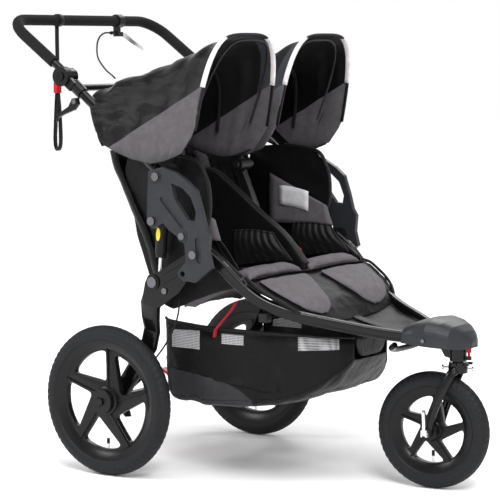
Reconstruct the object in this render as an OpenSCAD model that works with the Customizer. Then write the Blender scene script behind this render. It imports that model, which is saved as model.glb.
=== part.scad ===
// Two-seat, side-by-side jogging stroller with three wheels.
// X points forward, Y to the occupants' left, Z up. The origin is on the ground
// under the middle of the stroller's length. Right-hand parts lie at negative Y.

/* [Wheels] */
// Outside diameter of a rear tyre
rear_tyre_d = 400; // [396:1:404]
// Outside diameter of the front tyre
front_tyre_d = 304; // [302:1:305]
// Width of every tyre
tyre_w = 50; // [46:1:50]
// Distance between the middles of the rear tyres
track = 698; // [696:1:702]

/* [Frame] */
// Outside diameter of the push arms
arm_d = 26; // [22:1:26]
// Height of the main tubes' twin-channel section
tube_h = 30; // [26:1:30]
// Width of the main tubes' section
tube_w = 22; // [20:1:22]
// Thickness of the side castings
casting_t = 14; // [12:1:16]
// Depth of the lightening groove in the castings
groove_depth = 4; // [2:1:5]

/* [Handlebar] */
// Width of the handlebar between the middles of its arms
handlebar_w = 644; // [640:2:644]
// Outside diameter of the foam grip
grip_d = 30; // [28:1:32]
// Radius of the handlebar's bends
bend_r = 70; // [60:5:80]

/* [Front wheel] */
// Angle the front wheel is turned to at rest
rest_swivel = 7.5; // [0:0.5:7.5]
// Distance the front axle trails behind the steering axis
trail = 65; // [60:1:66]

/* [Accessory holes] */
// Radius of the accessory hole low in each casting
socket_r = 7.5; // [6:0.5:8]

/* [Hidden] */
$fn = 64;

// Joint points, as [x, z]
rear_axle = [-290, 200];
steer_x = 567;
front_axle_z = 152;
frame_pivot = [0, 604];
arm_pivot = [-117, 799];
handle_pivot = [-434, 1051];
canopy_pivot = [-97, 815];
shock_top = [-131, 684];
shock_foot = [-141, 524];
lever_pivot = [-388, 986];
seat_hinge = [-128, 476];
socket = [-35, 553];

// Layers across the stroller, as distances from its middle
tube_y = 310;
arm_y = 334;
arm_plate_y = 337;
casting_y = 350;
shock_y = 318;
hub_y = 333;
leg_y = 304;

run = 0.05;   // radial clearance of a running fit
gap = 0.4;    // clearance between faces that pass each other

frame_black = [0.10, 0.10, 0.11];
casting_grey = [0.25, 0.26, 0.28];
rubber_black = [0.12, 0.12, 0.13];
steel = [0.75, 0.76, 0.78];
cloth_black = [0.11, 0.11, 0.13];
cloth_grey = [0.45, 0.44, 0.47];
signal_red = [0.70, 0.10, 0.15];

// ---------- helpers ----------

module left_side() { mirror([0, 1, 0]) children(); }
module both_sides() { children(); left_side() children(); }

// Round bar across the stroller, from near to far on the right-hand side
module bar(at, r, near, far) {
    translate([at[0], -near, at[1]]) rotate([90, 0, 0]) cylinder(r = r, h = far - near);
}

// Plate in the X-Z plane, from near to far on the right-hand side
module plate(points, near, far) {
    translate([0, -near, 0]) rotate([90, 0, 0]) linear_extrude(far - near) polygon(points);
}

function unit(v) = v / norm(v);
function tangent(path, i) = let (n = len(path))
    unit(path[min(i + 1, n - 1)] - path[max(i - 1, 0)]);

// One ring of a swept section: side is the direction that the section's first axis keeps to
function ring(path, i, section, side) = let (
    t = tangent(path, i),
    u = unit(side - (side * t) * t),
    v = cross(t, u))
    [for (q = section) path[i] + q[0] * u + q[1] * v];

function flatten(rings) = [for (r = rings) for (p = r) p];

// Faces that join m rings of n points (n even) and close both ends
function loft_faces(m, n) = concat(
    [for (i = [0 : m - 2]) for (j = [0 : n - 1]) let (a = i * n, b = a + n, k = (j + 1) % n)
        [a + j, b + j, b + k, a + k]],
    [for (j = [0 : n / 2 - 2]) each [[j, j + 1, n - 1 - j], [j + 1, n - 2 - j, n - 1 - j]]],
    [for (j = [0 : n / 2 - 2]) let (a = (m - 1) * n)
        each [[a + j + 1, a + j, a + n - 1 - j], [a + n - 2 - j, a + j + 1, a + n - 1 - j]]]);

module loft(rings) {
    polyhedron(points = flatten(rings), faces = loft_faces(len(rings), len(rings[0])), convexity = 6);
}

module sweep(path, section, side) {
    loft([for (i = [0 : len(path) - 1]) ring(path, i, section, side)]);
}

function ellipse_section(a, b, n) = [for (k = [0 : n - 1]) [a * cos(360 * k / n), b * sin(360 * k / n)]];

// Quarter bend from direction a to direction b about a corner
function bend(corner, a, b, r, steps) = [for (k = [0 : steps]) let (t = 90 * k / steps)
    corner - r * a - r * (-b) + r * (sin(t) * a - cos(t) * b)];

// Points along a smooth curve through a few stations
function mix(a, b, t) = a + (b - a) * t;
function spline(p, i, t) = let (n = len(p) - 1,
    a = p[max(i - 1, 0)], b = p[i], c = p[min(i + 1, n)], d = p[min(i + 2, n)])
    0.5 * (2 * b + (c - a) * t + (2 * a - 5 * b + 4 * c - d) * t * t + (3 * b - a - 3 * c + d) * t * t * t);
function smooth(p, steps) = concat(
    [for (i = [0 : len(p) - 2]) for (k = [0 : steps - 1]) spline(p, i, k / steps)], [p[len(p) - 1]]);

// ---------- main frame ----------

// Middle line of a main tube on the right, from the pivot to the head block
tube_path = smooth([[0, -tube_y - 2, 606], [46, -tube_y, 575], [88, -303, 536], [129, -290, 501],
    [172, -270, 474], [231, -232, 449], [290, -191, 433], [361, -150, 417], [424, -109, 404],
    [448, -92, 400], [480, -72, 395], [508, -60, 391]], 3);

// Twin-channel section: two rounded lobes with a shallow waist between them
tube_section = [for (k = [0 : 23]) let (t = 15 * k - 82.5,
    waist = 1 - 0.16 * exp(-pow(sin(t) * 4, 2)))
    [tube_w / 2 * waist * sign(cos(t)) * pow(abs(cos(t)), 0.6),
     tube_h / 2 * sign(sin(t)) * pow(abs(sin(t)), 0.6)]];

tube_eye_r = 17;

module main_tube() {
    difference() {
        union() {
            sweep(tube_path, tube_section, [0, 1, 0]);
            bar(frame_pivot, tube_eye_r, tube_y - 8, tube_y + 13);
        }
        bar(frame_pivot, bolt_r + run, tube_y - 12, tube_y + 16);
    }
}
module main_tube_right() { color(frame_black) main_tube(); }
module main_tube_left() { color(frame_black) left_side() main_tube(); }

cross_path = smooth([[438, -98, 377], [420, -84, 366], [412, -50, 358], [410, 0, 356],
    [412, 50, 358], [420, 84, 366], [438, 98, 377]], 3);
module front_cross_tube() {
    color(frame_black) sweep(cross_path, ellipse_section(8, 8, 12), [1, 0, 0]);
}

seat_tube_at = [158, 446];
module seat_cross_tube() {
    color(frame_black) {
        bar(seat_tube_at, 9, -262, 262);
        // clamp blocks that hang the tube from the main tubes
        both_sides() translate([seat_tube_at[0] - 12, -284, seat_tube_at[1] - 12]) cube([24, 22, 22]);
    }
}

// ---------- nose ----------

// Stations along the nose: x, half width, top, bottom
nose_stations = [[458, 104, 428, 384], [472, 107, 434, 384], [490, 107, 441, 382], [520, 101, 445, 379],
    [550, 89, 439, 376], [575, 72, 428, 373], [595, 51, 414, 371], [607, 32, 402, 371], [614, 14, 390, 373]];
function nose_ring(s, off) = let (drop = off > 0 ? 12 : 0, w = s[1] - off, h = s[2] - s[3] - off + drop)
    [for (k = [0 : 23]) let (t = 180 * k / 23)
        [s[0], w * sign(cos(t)) * pow(abs(cos(t)), 0.55), s[3] - drop + h * pow(sin(t), 0.55)]];
nose_wall = 4;
nose_notch = 1.14;   // size of the notch round each main tube, against the tube
nose_screw_x = 521;
nose_screw_z = 394;
nose_screw_r = 5;
module nose_cover() {
    color(casting_grey) difference() {
        loft([for (s = nose_stations) nose_ring(s, 0)]);
        translate([-nose_wall * 1.5, 0, 0]) loft([for (s = nose_stations) nose_ring(s, nose_wall)]);
        both_sides() {
            sweep(tube_path, tube_section * nose_notch, [0, 1, 0]);
            translate([nose_screw_x, -90, nose_screw_z]) rotate([90, 0, 0])
                cylinder(r = nose_screw_r + 0.2, h = 20);
        }
    }
}
module nose_screws() {
    color(steel) both_sides() translate([nose_screw_x, -98, nose_screw_z]) rotate([90, 0, 0])
        cylinder(r = nose_screw_r, h = 7);
}

// ---------- steering head ----------

steerer_r = 14;
head_r = 22;
head_low = 336;
head_top = 404;
lock_x = steer_x + 31;
lock_pin_r = 3.5;
module head_tube() {
    color(frame_black) difference() {
        union() {
            translate([steer_x, 0, head_low]) cylinder(r = head_r, h = head_top - head_low);
            translate([512.6, -71, 378]) cube([42, 142, 24]);
            // gusset that drops from the block to the head
            rotate([90, 0, 0]) linear_extrude(36, center = true)
                polygon([[514, 384], [538, 346], [566, 340], [566, 384]]);
            // guide for the swivel-lock pin
            translate([lock_x, 0, 340]) cylinder(r = 7, h = 9);
            translate([steer_x + 15, -4, 340]) cube([14, 8, 9]);
        }
        translate([steer_x, 0, head_low - 1]) cylinder(r = steerer_r + run, h = head_top - head_low + 2);
        translate([lock_x, 0, 330]) cylinder(r = lock_pin_r + run, h = 30);
    }
}

module steered() {
    translate([steer_x, 0, 0]) rotate([0, 0, rest_swivel]) children();
}

crown_low = 305;
crown_top = 326;
disc_top = 332.5;
blade_path = smooth([[2, -24, 315], [-6, -31, 306], [-14, -36, 290], [-33, -42, 249], [-50, -45, 205],
    [-60, -46, 175], [-trail, -46, front_axle_z]], 3);
module fork() {
    color(frame_black) steered() difference() {
        union() {
            translate([0, 0, crown_top - 1]) cylinder(r = steerer_r, h = head_top - crown_top + 9);
            translate([0, 0, crown_low]) cylinder(r = 25, h = crown_top - crown_low);
            translate([0, 0, crown_top - 0.5]) cylinder(r = 24, h = disc_top - crown_top + 0.5);
            // two lugs that the swivel-lock pin drops between, and the disc's side wings
            for (s = [-1, 1]) translate([22, s * 13 - 3, crown_top]) cube([12, 6, disc_top - crown_top]);
            for (s = [-1, 1]) rotate([0, 0, s * 90]) translate([20, -6, crown_top])
                cube([12, 12, disc_top - crown_top]);
            for (s = [-1, 1]) mirror([0, s > 0 ? 1 : 0, 0]) {
                sweep(blade_path, ellipse_section(6, 12, 14), [0, 1, 0]);
                translate([-trail, -40, front_axle_z]) rotate([90, 0, 0]) cylinder(r = 14, h = 12);
            }
        }
        // slots for the axle
        translate([-trail, 60, front_axle_z]) rotate([90, 0, 0]) cylinder(r = axle_r, h = 120);
    }
}
module tracking_screws() {
    color(steel) steered() for (s = [-1, 1]) {
        translate([s * 25.05, 0, 317]) rotate([0, s * 90, 0]) cylinder(r = 2.5, h = 13);
        translate([s * 38, 0, 317]) rotate([0, s * 90, 0]) cylinder(r = 6, h = 5);
    }
}
module swivel_lock_pin() {
    translate([lock_x, 0, 0]) {
        color(frame_black) translate([0, 0, 339.5]) cylinder(r = lock_pin_r, h = 20);
        color(signal_red) translate([0, 0, 359]) cylinder(r = 6.5, h = 10);
    }
}

// ---------- wheels ----------

axle_r = 6;
hub_r = 22;
spokes = 5;
tyre_r = tyre_w / 2;
rim_depth = 33;      // tyre's outside to the rim's edge
bed_depth = 40;      // tyre's outside to the rim's tyre bed
bed_half = 19;

// Tyre and rim sections lie in X (radius) and Y (across the wheel)
module tyre_section(r) {
    difference() {
        translate([r - tyre_r, 0]) circle(r = tyre_r);
        translate([0, -60]) square([r - bed_depth + 0.1, 120]);
        for (s = [-1, 1]) translate([0, s > 0 ? 14 : -20]) square([r - rim_depth + 0.1, 6]);
    }
}
module rim_section(r) {
    translate([r - bed_depth - 8, -bed_half]) square([8, 2 * bed_half]);
    for (s = [-1, 1]) translate([r - bed_depth - 8, s > 0 ? 14.5 : -bed_half]) square([15, bed_half - 14.5]);
}
// A wheel stands in the X-Z plane about its own middle
module turned() { rotate([90, 0, 0]) rotate_extrude($fn = 96) children(); }

// One spoke of the pinwheel rim: a wedge that meets the hub off centre
module spoke(r, k) {
    linear_extrude(20, center = true)
        polygon([[8 * k, r], [42 * k, r - 6], [60 * k, 62 * k], [74 * k, 18 * k], [30 * k, -12 * k],
            [28 * k, 40 * k]]);
    // fin that stiffens the wedge's straight edge
    translate([0, 0, 8]) linear_extrude(10)
        polygon([[6 * k, r], [15 * k, r], [33 * k, 34 * k], [25 * k, 30 * k]]);
}
module rim(r, k) {
    turned() rim_section(r);
    difference() {
        union() {
            rotate([90, 0, 0]) for (i = [0 : spokes - 1]) rotate([0, 0, i * 360 / spokes])
                spoke(r - bed_depth - 5, k);
            rotate([90, 0, 0]) cylinder(r = 34 * k + 2, h = 44, center = true);
        }
        rotate([90, 0, 0]) cylinder(r = hub_r, h = 80, center = true);
    }
}
module at_rear(s) { translate([rear_axle[0], s * track / 2, rear_axle[1]]) children(); }
module rear_rim_right() { color(frame_black) at_rear(-1) rim(rear_tyre_d / 2, 1); }
module rear_rim_left() { color(frame_black) left_side() rear_rim_right(); }
module rear_tyre_right() { color(rubber_black) at_rear(-1) turned() tyre_section(rear_tyre_d / 2); }
module rear_tyre_left() { color(rubber_black) left_side() rear_tyre_right(); }

rear_hub_in = 315;
rear_hub_out = 381;
module rear_hub() {
    difference() {
        union() {
            bar(rear_axle, hub_r, rear_hub_in, rear_hub_out - 4);
            bar(rear_axle, 33, 371.5, rear_hub_out);
        }
        bar(rear_axle, axle_r + run, 300, 395);
        bar(rear_axle, 13, rear_hub_out - 3, 395);
    }
}
module rear_hub_right() { color(frame_black) rear_hub(); }
module rear_hub_left() { color(frame_black) left_side() rear_hub(); }

module at_front() { steered() translate([-trail, 0, front_axle_z]) children(); }
module front_rim() { color(frame_black) at_front() rim(front_tyre_d / 2, 0.7); }
module front_tyre() { color(rubber_black) at_front() turned() tyre_section(front_tyre_d / 2); }
module front_hub() {
    color(frame_black) at_front() rotate([90, 0, 0]) difference() {
        cylinder(r = hub_r, h = 78, center = true);
        cylinder(r = axle_r + run, h = 90, center = true);
    }
}
module front_axle() {
    color(steel) at_front() rotate([90, 0, 0]) {
        cylinder(r = axle_r, h = 108, center = true);
        translate([0, 0, -60]) cylinder(r = 9, h = 8);
        // clevis block that the cam lever turns in
        difference() {
            translate([-8, -9, 52]) cube([16, 18, 17]);
            translate([-4.5, -10, 56]) cube([9, 20, 14]);
            translate([0, 0, skewer_out]) rotate([0, 90, 0])
                cylinder(r = cam_pin_r + run, h = 20, center = true);
        }
    }
}
skewer_out = 64;
cam_pin_r = 2.5;
// Cam lever in the plane across the wheel, as [outward, up] from its pin
cam_outline = [[-4, -4], [4, -4], [5, 6], [6, 30], [10, 56], [7, 62], [2, 58], [-2, 30], [-4, 8]];
module skewer_lever() {
    color(steel) at_front() translate([0, -skewer_out, 0]) {
        rotate([0, 90, 0]) cylinder(r = cam_pin_r, h = 15, center = true);
        rotate([90, 0, -90]) linear_extrude(8, center = true) polygon(cam_outline);
    }
}

// ---------- castings ----------

bolt_r = 7;
casting_outline = [[-142, 812], [-100, 824], [-58, 812], [-22, 792], [8, 768], [26, 716], [37, 676],
    [49, 657], [45, 613], [56, 573], [6, 533], [-34, 536], [-50, 556], [-25, 585], [-28, 628],
    [-42, 643], [-78, 664], [-97, 680], [-112, 672], [-130, 664], [-147, 676], [-146, 730], [-144, 780]];
loop_opening = [[-70, 784], [-34, 772], [-8, 750], [8, 712], [4, 690], [-18, 692], [-60, 744]];
module slot_line(a, b, r) {
    hull() for (p = [a, b]) translate(p) circle(r = r, $fn = 32);
}
module casting() {
    far = casting_y + casting_t;
    difference() {
        union() {
            plate(casting_outline, casting_y, far);
            bar(socket, 14, casting_y, far);
            // boss that carries the shock's upper eye
            bar(shock_top, 13, shock_y + 16, casting_y + 1);
            // raised pads round the bolts
            for (p = [arm_pivot, frame_pivot, [-35, 650]]) bar(p, 15, far - 1, far + 2);
        }
        plate(loop_opening, casting_y - 1, far + 1);
        // diagonal groove
        translate([0, -far + groove_depth, 0]) rotate([90, 0, 0]) linear_extrude(10) {
            slot_line([-100, 742], [-36, 676], 6);
            slot_line([12, 640], [18, 590], 8);
        }
        bar(arm_pivot, bolt_r, casting_y - 1, far + 5);
        bar(frame_pivot, bolt_r, casting_y - 1, far + 5);
        bar(shock_top, bolt_r, shock_y, far + 5);
        bar([-35, 650], 5, casting_y - 1, far + 5);
        bar(socket, socket_r, casting_y - 1, far + 5);
    }
}
module casting_right() { color(casting_grey) casting(); }
module casting_left() { color(casting_grey) left_side() casting(); }

module frame_bolt(at, near) {
    far = casting_y + casting_t;
    bar(at, bolt_r, near, far + 3);
    bar(at, 11, far + 2.5, far + 7);
}
module frame_bolts() {
    color(steel) both_sides() {
        frame_bolt(arm_pivot, arm_y - 12);
        frame_bolt(frame_pivot, tube_y - 11);
        frame_bolt(shock_top, shock_y - 16);
        bar([-35, 650], 5, casting_y, casting_y + casting_t + 3);
        bar([-35, 650], 9, casting_y + casting_t + 2, casting_y + casting_t + 6);
    }
}

// ---------- push frame ----------

arm_dir = unit([handle_pivot[0] - arm_pivot[0], 0, handle_pivot[1] - arm_pivot[1]]);
arm_len = norm([handle_pivot[0] - arm_pivot[0], 0, handle_pivot[1] - arm_pivot[1]]);
arm_tilt = atan2(handle_pivot[0] - arm_pivot[0], handle_pivot[1] - arm_pivot[1]);
// Places a shape along the push arm: its Z runs up the arm from the casting
module along_arm(y) { translate([arm_pivot[0], -y, arm_pivot[1]]) rotate([0, arm_tilt, 0]) children(); }

module push_tube() {
    difference() {
        union() {
            along_arm(arm_y) translate([0, 0, 8]) cylinder(r = arm_d / 2, h = arm_len - 36);
            bar(arm_pivot, 18, arm_y - 12, arm_y + 13);
        }
        bar(arm_pivot, bolt_r + run, arm_y - 16, arm_y + 16);
    }
}
module push_tube_right() { color(frame_black) push_tube(); }
module push_tube_left() { color(frame_black) left_side() push_tube(); }

cross_at = arm_len - 48;
cross_tube_at = [arm_pivot[0] + arm_dir[0] * cross_at, arm_pivot[1] + arm_dir[2] * cross_at];
cross_tube_r = 9;
module push_cross_tube() {
    reach_y = arm_y - arm_d / 2;
    color(frame_black) bar(cross_tube_at, cross_tube_r, -reach_y, reach_y);
}

hub_pin_r = 7;
module handle_hub() {
    difference() {
        union() {
            bar(handle_pivot, 26, hub_y + 4, hub_y + 26);
            // socket that receives the push arm, and the neck that joins it to the hub
            along_arm(arm_y) translate([0, 0, arm_len - 72]) cylinder(r = arm_d / 2 + 4, h = 38);
            along_arm(arm_y) translate([-14, -18, arm_len - 44]) cube([28, 12, 40]);
        }
        bar(handle_pivot, hub_pin_r + run, hub_y - 10, hub_y + 40);
        along_arm(arm_y) translate([0, 0, arm_len - 90]) cylinder(r = arm_d / 2, h = 62);
        bar(cross_tube_at, cross_tube_r, arm_y - 30, arm_y);
    }
}
module handle_hubs() { color(casting_grey) both_sides() handle_hub(); }

module push_frame_screws() {
    color(steel) both_sides() {
        bar(lever_pivot, 4, arm_y + 13, arm_y + 24);
        bar(lever_pivot, 7, arm_y + 23, arm_y + 27);
    }
}

// ---------- release levers ----------

lever_outline = [[-9, 8], [8, 10], [12, -6], [-2, -22], [-36, -34], [-58, -44], [-66, -56],
    [-60, -40], [-44, -26], [-22, -14]];
module release_lever() {
    difference() {
        translate([0, -(arm_y + arm_d / 2 + gap), 0]) rotate([90, 0, 0]) linear_extrude(9)
            translate(lever_pivot) polygon(lever_outline);
        bar(lever_pivot, 4 + run, arm_y, arm_y + 40);
    }
}
module release_lever_right() { color(frame_black) release_lever(); }
module release_lever_left() { color(frame_black) left_side() release_lever(); }

// ---------- handlebar ----------

bar_at = [-643, 1201];
up_dir = unit([bar_at[0] - handle_pivot[0], 0, bar_at[1] - handle_pivot[1]]);
reach = norm([bar_at[0] - handle_pivot[0], 0, bar_at[1] - handle_pivot[1]]);
half = handlebar_w / 2;
start = [handle_pivot[0], -half, handle_pivot[1]];
corner_bend = bend(start + reach * up_dir, up_dir, [0, 1, 0], bend_r, 8);
handle_path = concat(
    [start + 24 * up_dir, start + (reach - bend_r - 40) * up_dir],
    corner_bend,
    [start + reach * up_dir + [0, half, 0]],
    [for (k = [8 : -1 : 0]) let (p = corner_bend[k]) [p[0], -p[1], p[2]]],
    [for (d = [reach - bend_r - 40, 24]) let (p = start + d * up_dir) [p[0], -p[1], p[2]]]);
handle_side = cross(up_dir, [0, 1, 0]);

module handle_knuckle() {
    bar(handle_pivot, 22, half - 12, hub_y + 4 - gap);
    bar(handle_pivot, hub_pin_r, half, hub_y + 28);
    bar(handle_pivot, 12, hub_y + 27, hub_y + 30);
}
module handle_tube() {
    color(frame_black) {
        sweep(handle_path, ellipse_section(11, 11, 12), handle_side);
        both_sides() handle_knuckle();
    }
}

foam_start = 62;
foam_path = concat([start + foam_start * up_dir],
    [for (i = [1 : len(handle_path) - 2]) handle_path[i]],
    [let (p = start + foam_start * up_dir) [p[0], -p[1], p[2]]]);
module foam_grip() {
    color(rubber_black) difference() {
        sweep(foam_path, ellipse_section(grip_d / 2, grip_d / 2, 16), handle_side);
        sweep(handle_path, ellipse_section(11.2, 11.2, 12), handle_side);
    }
}

brake_y = 161;
brake_pin_r = 2.4;
lever_half = 3.5;
module brake_bracket() {
    color(frame_black) translate([bar_at[0], brake_y, bar_at[1]]) difference() {
        union() {
            rotate([90, 0, 0]) cylinder(r = grip_d / 2 + 4, h = 24, center = true);
            translate([-8, -12, -44]) cube([16, 14, 32]);
            translate([0, -12, -34]) rotate([90, 0, 0]) cylinder(r = 5, h = 22);
            // ears and pin that the lever turns on
            for (x = [-8, lever_half + gap]) translate([x, 1, -44]) cube([8 - lever_half - gap, 13, 13]);
            translate([-7, 8, -38]) rotate([0, 90, 0]) cylinder(r = brake_pin_r, h = 14);
        }
        rotate([90, 0, 0]) cylinder(r = grip_d / 2 + 0.2, h = 40, center = true);
        translate([0, 20, -34]) rotate([90, 0, 0]) cylinder(r = 2.6, h = 60);
    }
}
brake_pivot = [bar_at[0], brake_y + 8, bar_at[1] - 38];
// Outline of the hand brake's lever from its pin, as [along the bar, up]
lever_shape = [[0, -5], [0, 5], [22, 4], [62, -18], [104, -36], [110, -44], [100, -46], [56, -28], [18, -11]];
module brake_lever() {
    color(steel) translate(brake_pivot) rotate([90, 0, 90]) linear_extrude(2 * lever_half, center = true)
        difference() {
            union() {
                circle(r = 5.5);
                polygon(lever_shape);
            }
            circle(r = brake_pin_r + run);
        }
}

// Wrist strap: a band round the grip, a hanging strand, and a loop below the clip
strap_y = -111;
strap_x = bar_at[0] - 4;
strap_loop = [[1.8, 1008], [1.9, 996], [6, 960], [9, 910], [10, 870], [7, 848], [0, 840], [-7, 848], [-10, 870],
    [-8, 910], [-5, 960], [-1.9, 996], [-1.8, 1008]];
module wrist_strap() {
    color(cloth_black) {
        translate([bar_at[0], strap_y, bar_at[1]]) rotate([90, 0, 0]) difference() {
            cylinder(r = grip_d / 2 + 2.6, h = 16, center = true);
            cylinder(r = grip_d / 2 + 0.1, h = 20, center = true);
        }
        translate([strap_x - 1.5, strap_y - 8, 1020]) cube([3, 16, 166]);
        sweep([for (p = strap_loop) [strap_x + p[0], strap_y, p[1]]], ellipse_section(8, 1.5, 8), [0, 1, 0]);
    }
}
module strap_clip() {
    color(signal_red) translate([strap_x - 6, strap_y - 10, 1000]) difference() {
        cube([12, 20, 28]);
        translate([2.3, 1.8, -1]) cube([7.4, 16.4, 30]);
    }
}

// Brake cable, from the adjuster on the bar down to the cross tube
cable_upper = [[-643, 124, 1167], [-643, 100, 1167], [-641, 76, 1158], [-634, 54, 1141], [-616, 28, 1119],
    [-584, -8, 1097], [-540, -46, 1078], [-490, -88, 1062], [-444, -126, 1052], [-414, -150, 1044]];
cable_r = 2.4;
module brake_cable_upper() {
    color(cloth_black) sweep(smooth(cable_upper, 3), ellipse_section(cable_r, cable_r, 8), [1, 0, 0.3]);
}

// ---------- canopies ----------

// Ribs of a canopy: foot and crown, as [x, z]
canopy_ribs = [[[-298, 863], [-361, 1016]], [[-252, 838], [-294, 1041]], [[-206, 824], [-182, 1072]],
    [[-150, 830], [-80, 1103]], [[-106, 838], [-14, 1134]], [[-86, 852], [48, 1160]]];
canopy_mid = 188.5;
canopy_half = 163.5;
arch_power = 3.8;
function arch(c) = pow(max(1 - pow(abs(c), arch_power), 0), 1 / arch_power);
function rib_points(rib, inset, count) = let (
    f = rib[0], c = rib[1], d = (c - f) / norm(c - f), l = norm(c - f) - inset, h = canopy_half - inset)
    [for (k = [0 : count]) let (a = 180 * k / count, s = -cos(a),
        q = f + d * l * arch(s)) [q[0], -canopy_mid - h * s, q[1]]];
canopy_wall = 4;
canopy_steps = 20;
module canopy() {
    outer = [for (r = canopy_ribs) rib_points(r, 0, canopy_steps)];
    inner = [for (r = canopy_ribs) rib_points(r, canopy_wall, canopy_steps)];
    n = canopy_steps + 1;
    difference() {
        loft([for (i = [0 : len(canopy_ribs) - 1]) concat(outer[i], [for (k = [n - 1 : -1 : 0]) inner[i][k]])]);
        // channel where the cover drapes over the push arm
        along_arm(arm_y) translate([0, 0, 20]) cylinder(r = arm_d / 2 + 1, h = arm_len);
    }
}
module canopy_right() { color(cloth_black) canopy(); }
module canopy_left() { color(cloth_black) left_side() canopy(); }

bow_r = 3;
bow_mid = 168;
bow_half = 134;
bracket_in = 311.4;
function bow_path(crown) = let (f = canopy_pivot, d = (crown - f) / norm(crown - f), l = norm(crown - f) - 14)
    [for (k = [0 : 18]) let (a = 170 * k / 18 + 5, s = -cos(a), q = f + d * (4 + (l - 4) * arch(s)))
        [q[0], -bow_mid - bow_half * s, q[1]]];
bow_pin_r = 4;
module canopy_bows() {
    sweep(bow_path(canopy_ribs[5][1]), ellipse_section(bow_r, bow_r, 8), [-1, 0, 0]);
    for (s = [-1, 1]) bar(canopy_pivot, 10, bow_mid + s * bow_half - 4, bow_mid + s * bow_half + 4);
    bar(canopy_pivot, bow_pin_r, bow_mid + bow_half, bracket_out);
    bar(canopy_pivot, bow_pin_r, 2, bow_mid - bow_half);
}
module canopy_bows_right() { color(steel) canopy_bows(); }
module canopy_bows_left() { color(steel) left_side() canopy_bows(); }

bracket_out = arm_y - arm_d / 2 - 0.2;
mid_half = canopy_mid - canopy_half - gap;   // half width of the middle bracket
module canopy_brackets() {
    color(frame_black) {
        both_sides() difference() {
            plate([[-114, 798], [-128, 812], [-112, 828], [-96, 833], [-80, 826], [-78, 806], [-92, 796]],
                bracket_in, bracket_out);
            bar(canopy_pivot, bow_pin_r + run, 300, 330);
        }
        // middle bracket, on a stay from the cross tube
        difference() {
            union() {
                bar(canopy_pivot, 15, -mid_half, mid_half);
                along_arm(0) translate([12, -5, 44]) cube([12, 10, cross_at - 46]);
            }
            bar(canopy_pivot, bow_pin_r + run, -40, 40);
            along_arm(0) translate([0, -20, cross_at]) rotate([-90, 0, 0]) cylinder(r = cross_tube_r, h = 40);
        }
    }
}

// ---------- seats ----------

seat_in = 14;
seat_profile_rear = [[-118, 452], [-60, 476], [30, 510], [100, 530], [128, 532], [128, 508], [100, 500],
    [30, 474], [-60, 440], [-112, 424]];
seat_profile_front = [[128, 532], [160, 520], [190, 504], [218, 484], [240, 460], [248, 438], [236, 436],
    [226, 454], [208, 474], [180, 492], [128, 508]];
// Outer side wall with its wing, and the divider between the seats
wall_profile = [[-190, 500], [-235, 640], [-262, 748], [-276, 800], [-262, 850], [-150, 856], [-44, 842],
    [-12, 806], [24, 771], [36, 719], [32, 664], [66, 612], [112, 556], [100, 524], [20, 500], [-60, 470],
    [-118, 446], [-150, 456]];
divider_profile = [[-190, 500], [-235, 640], [-262, 748], [-225, 800], [-185, 792], [-134, 758], [-35, 684],
    [43, 628], [108, 556], [100, 524], [20, 500], [-60, 470], [-118, 446], [-150, 456]];
seat_wall = 5;
module seat_base() {
    plate(seat_profile_rear, seat_in, 276);
    plate(seat_profile_front, seat_in, 200);
    plate(wall_profile, 276, 276 + seat_wall);
    plate(divider_profile, 1, seat_in);
}
module seat_base_right() { color(cloth_grey) seat_base(); }
module seat_base_left() { color(cloth_grey) left_side() seat_base(); }

seat_back_profile = [[-128, 478], [-150, 470], [-330, 852], [-316, 872], [-296, 868]];
module seat_backs() {
    color(cloth_black) both_sides() plate(seat_back_profile, 34, 266);
}

// Stations of the footwell sling: x, half width, height of its floor
footwell_stations = [[212, 224, 424], [250, 200, 416], [300, 166, 406], [350, 136, 398], [400, 104, 392],
    [452, 66, 388]];
footwell_t = 5;
module footwell() {
    color(cloth_black) loft([for (s = footwell_stations) concat(
        [for (c = [1, 0.5, 0, -0.5, -1]) [s[0], c * s[1], s[2] + 14 * c * c]],
        [for (c = [-1, -0.5, 0, 0.5, 1]) [s[0], c * s[1], s[2] + 14 * c * c - footwell_t]])]);
}

// Stations of the basket: x, half width, top, bottom
basket_stations = [[-184, 232, 416, 308], [-166, 240, 411, 208], [-100, 244, 406, 198], [-20, 245, 402, 196],
    [110, 236, 400, 206], [180, 218, 398, 222], [236, 192, 394, 243], [292, 152, 388, 276], [328, 120, 384, 322]];
basket_wall = 5;
function basket_ring(s, off) = let (w = s[1] - off, top = s[2] + (off > 0 ? 20 : 0), low = s[3] + off)
    concat([[s[0], -w, top]],
        [for (k = [0 : 9]) let (t = 180 + 180 * k / 9)
            [s[0], w * sign(cos(t)) * pow(abs(cos(t)), 0.35), low + (s[2] - low) * 0.3 * (1 - pow(abs(sin(t)), 0.5))]],
        [[s[0], w, top]]);
function inset_x(s, off) = [s[0] + (s[0] < -180 ? off : s[0] > 320 ? -off : 0), s[1], s[2], s[3]];
module basket() {
    color(cloth_black) difference() {
        loft([for (s = basket_stations) basket_ring(s, 0)]);
        loft([for (s = basket_stations) basket_ring(inset_x(s, basket_wall), basket_wall)]);
    }
}

// Red webbing used to pull the frame shut, from the seat's cross tube to the basket rim
grab_y = -254;
grab_path = [[58, 478], [40, 452], [14, 424], [-8, 400], [-12, 380]];
module grab_strap() {
    color(signal_red) sweep([for (p = grab_path) [p[0], grab_y, p[1]]], ellipse_section(8, 1.5, 8), [0, 1, 0]);
}

// ---------- rear suspension ----------

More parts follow.
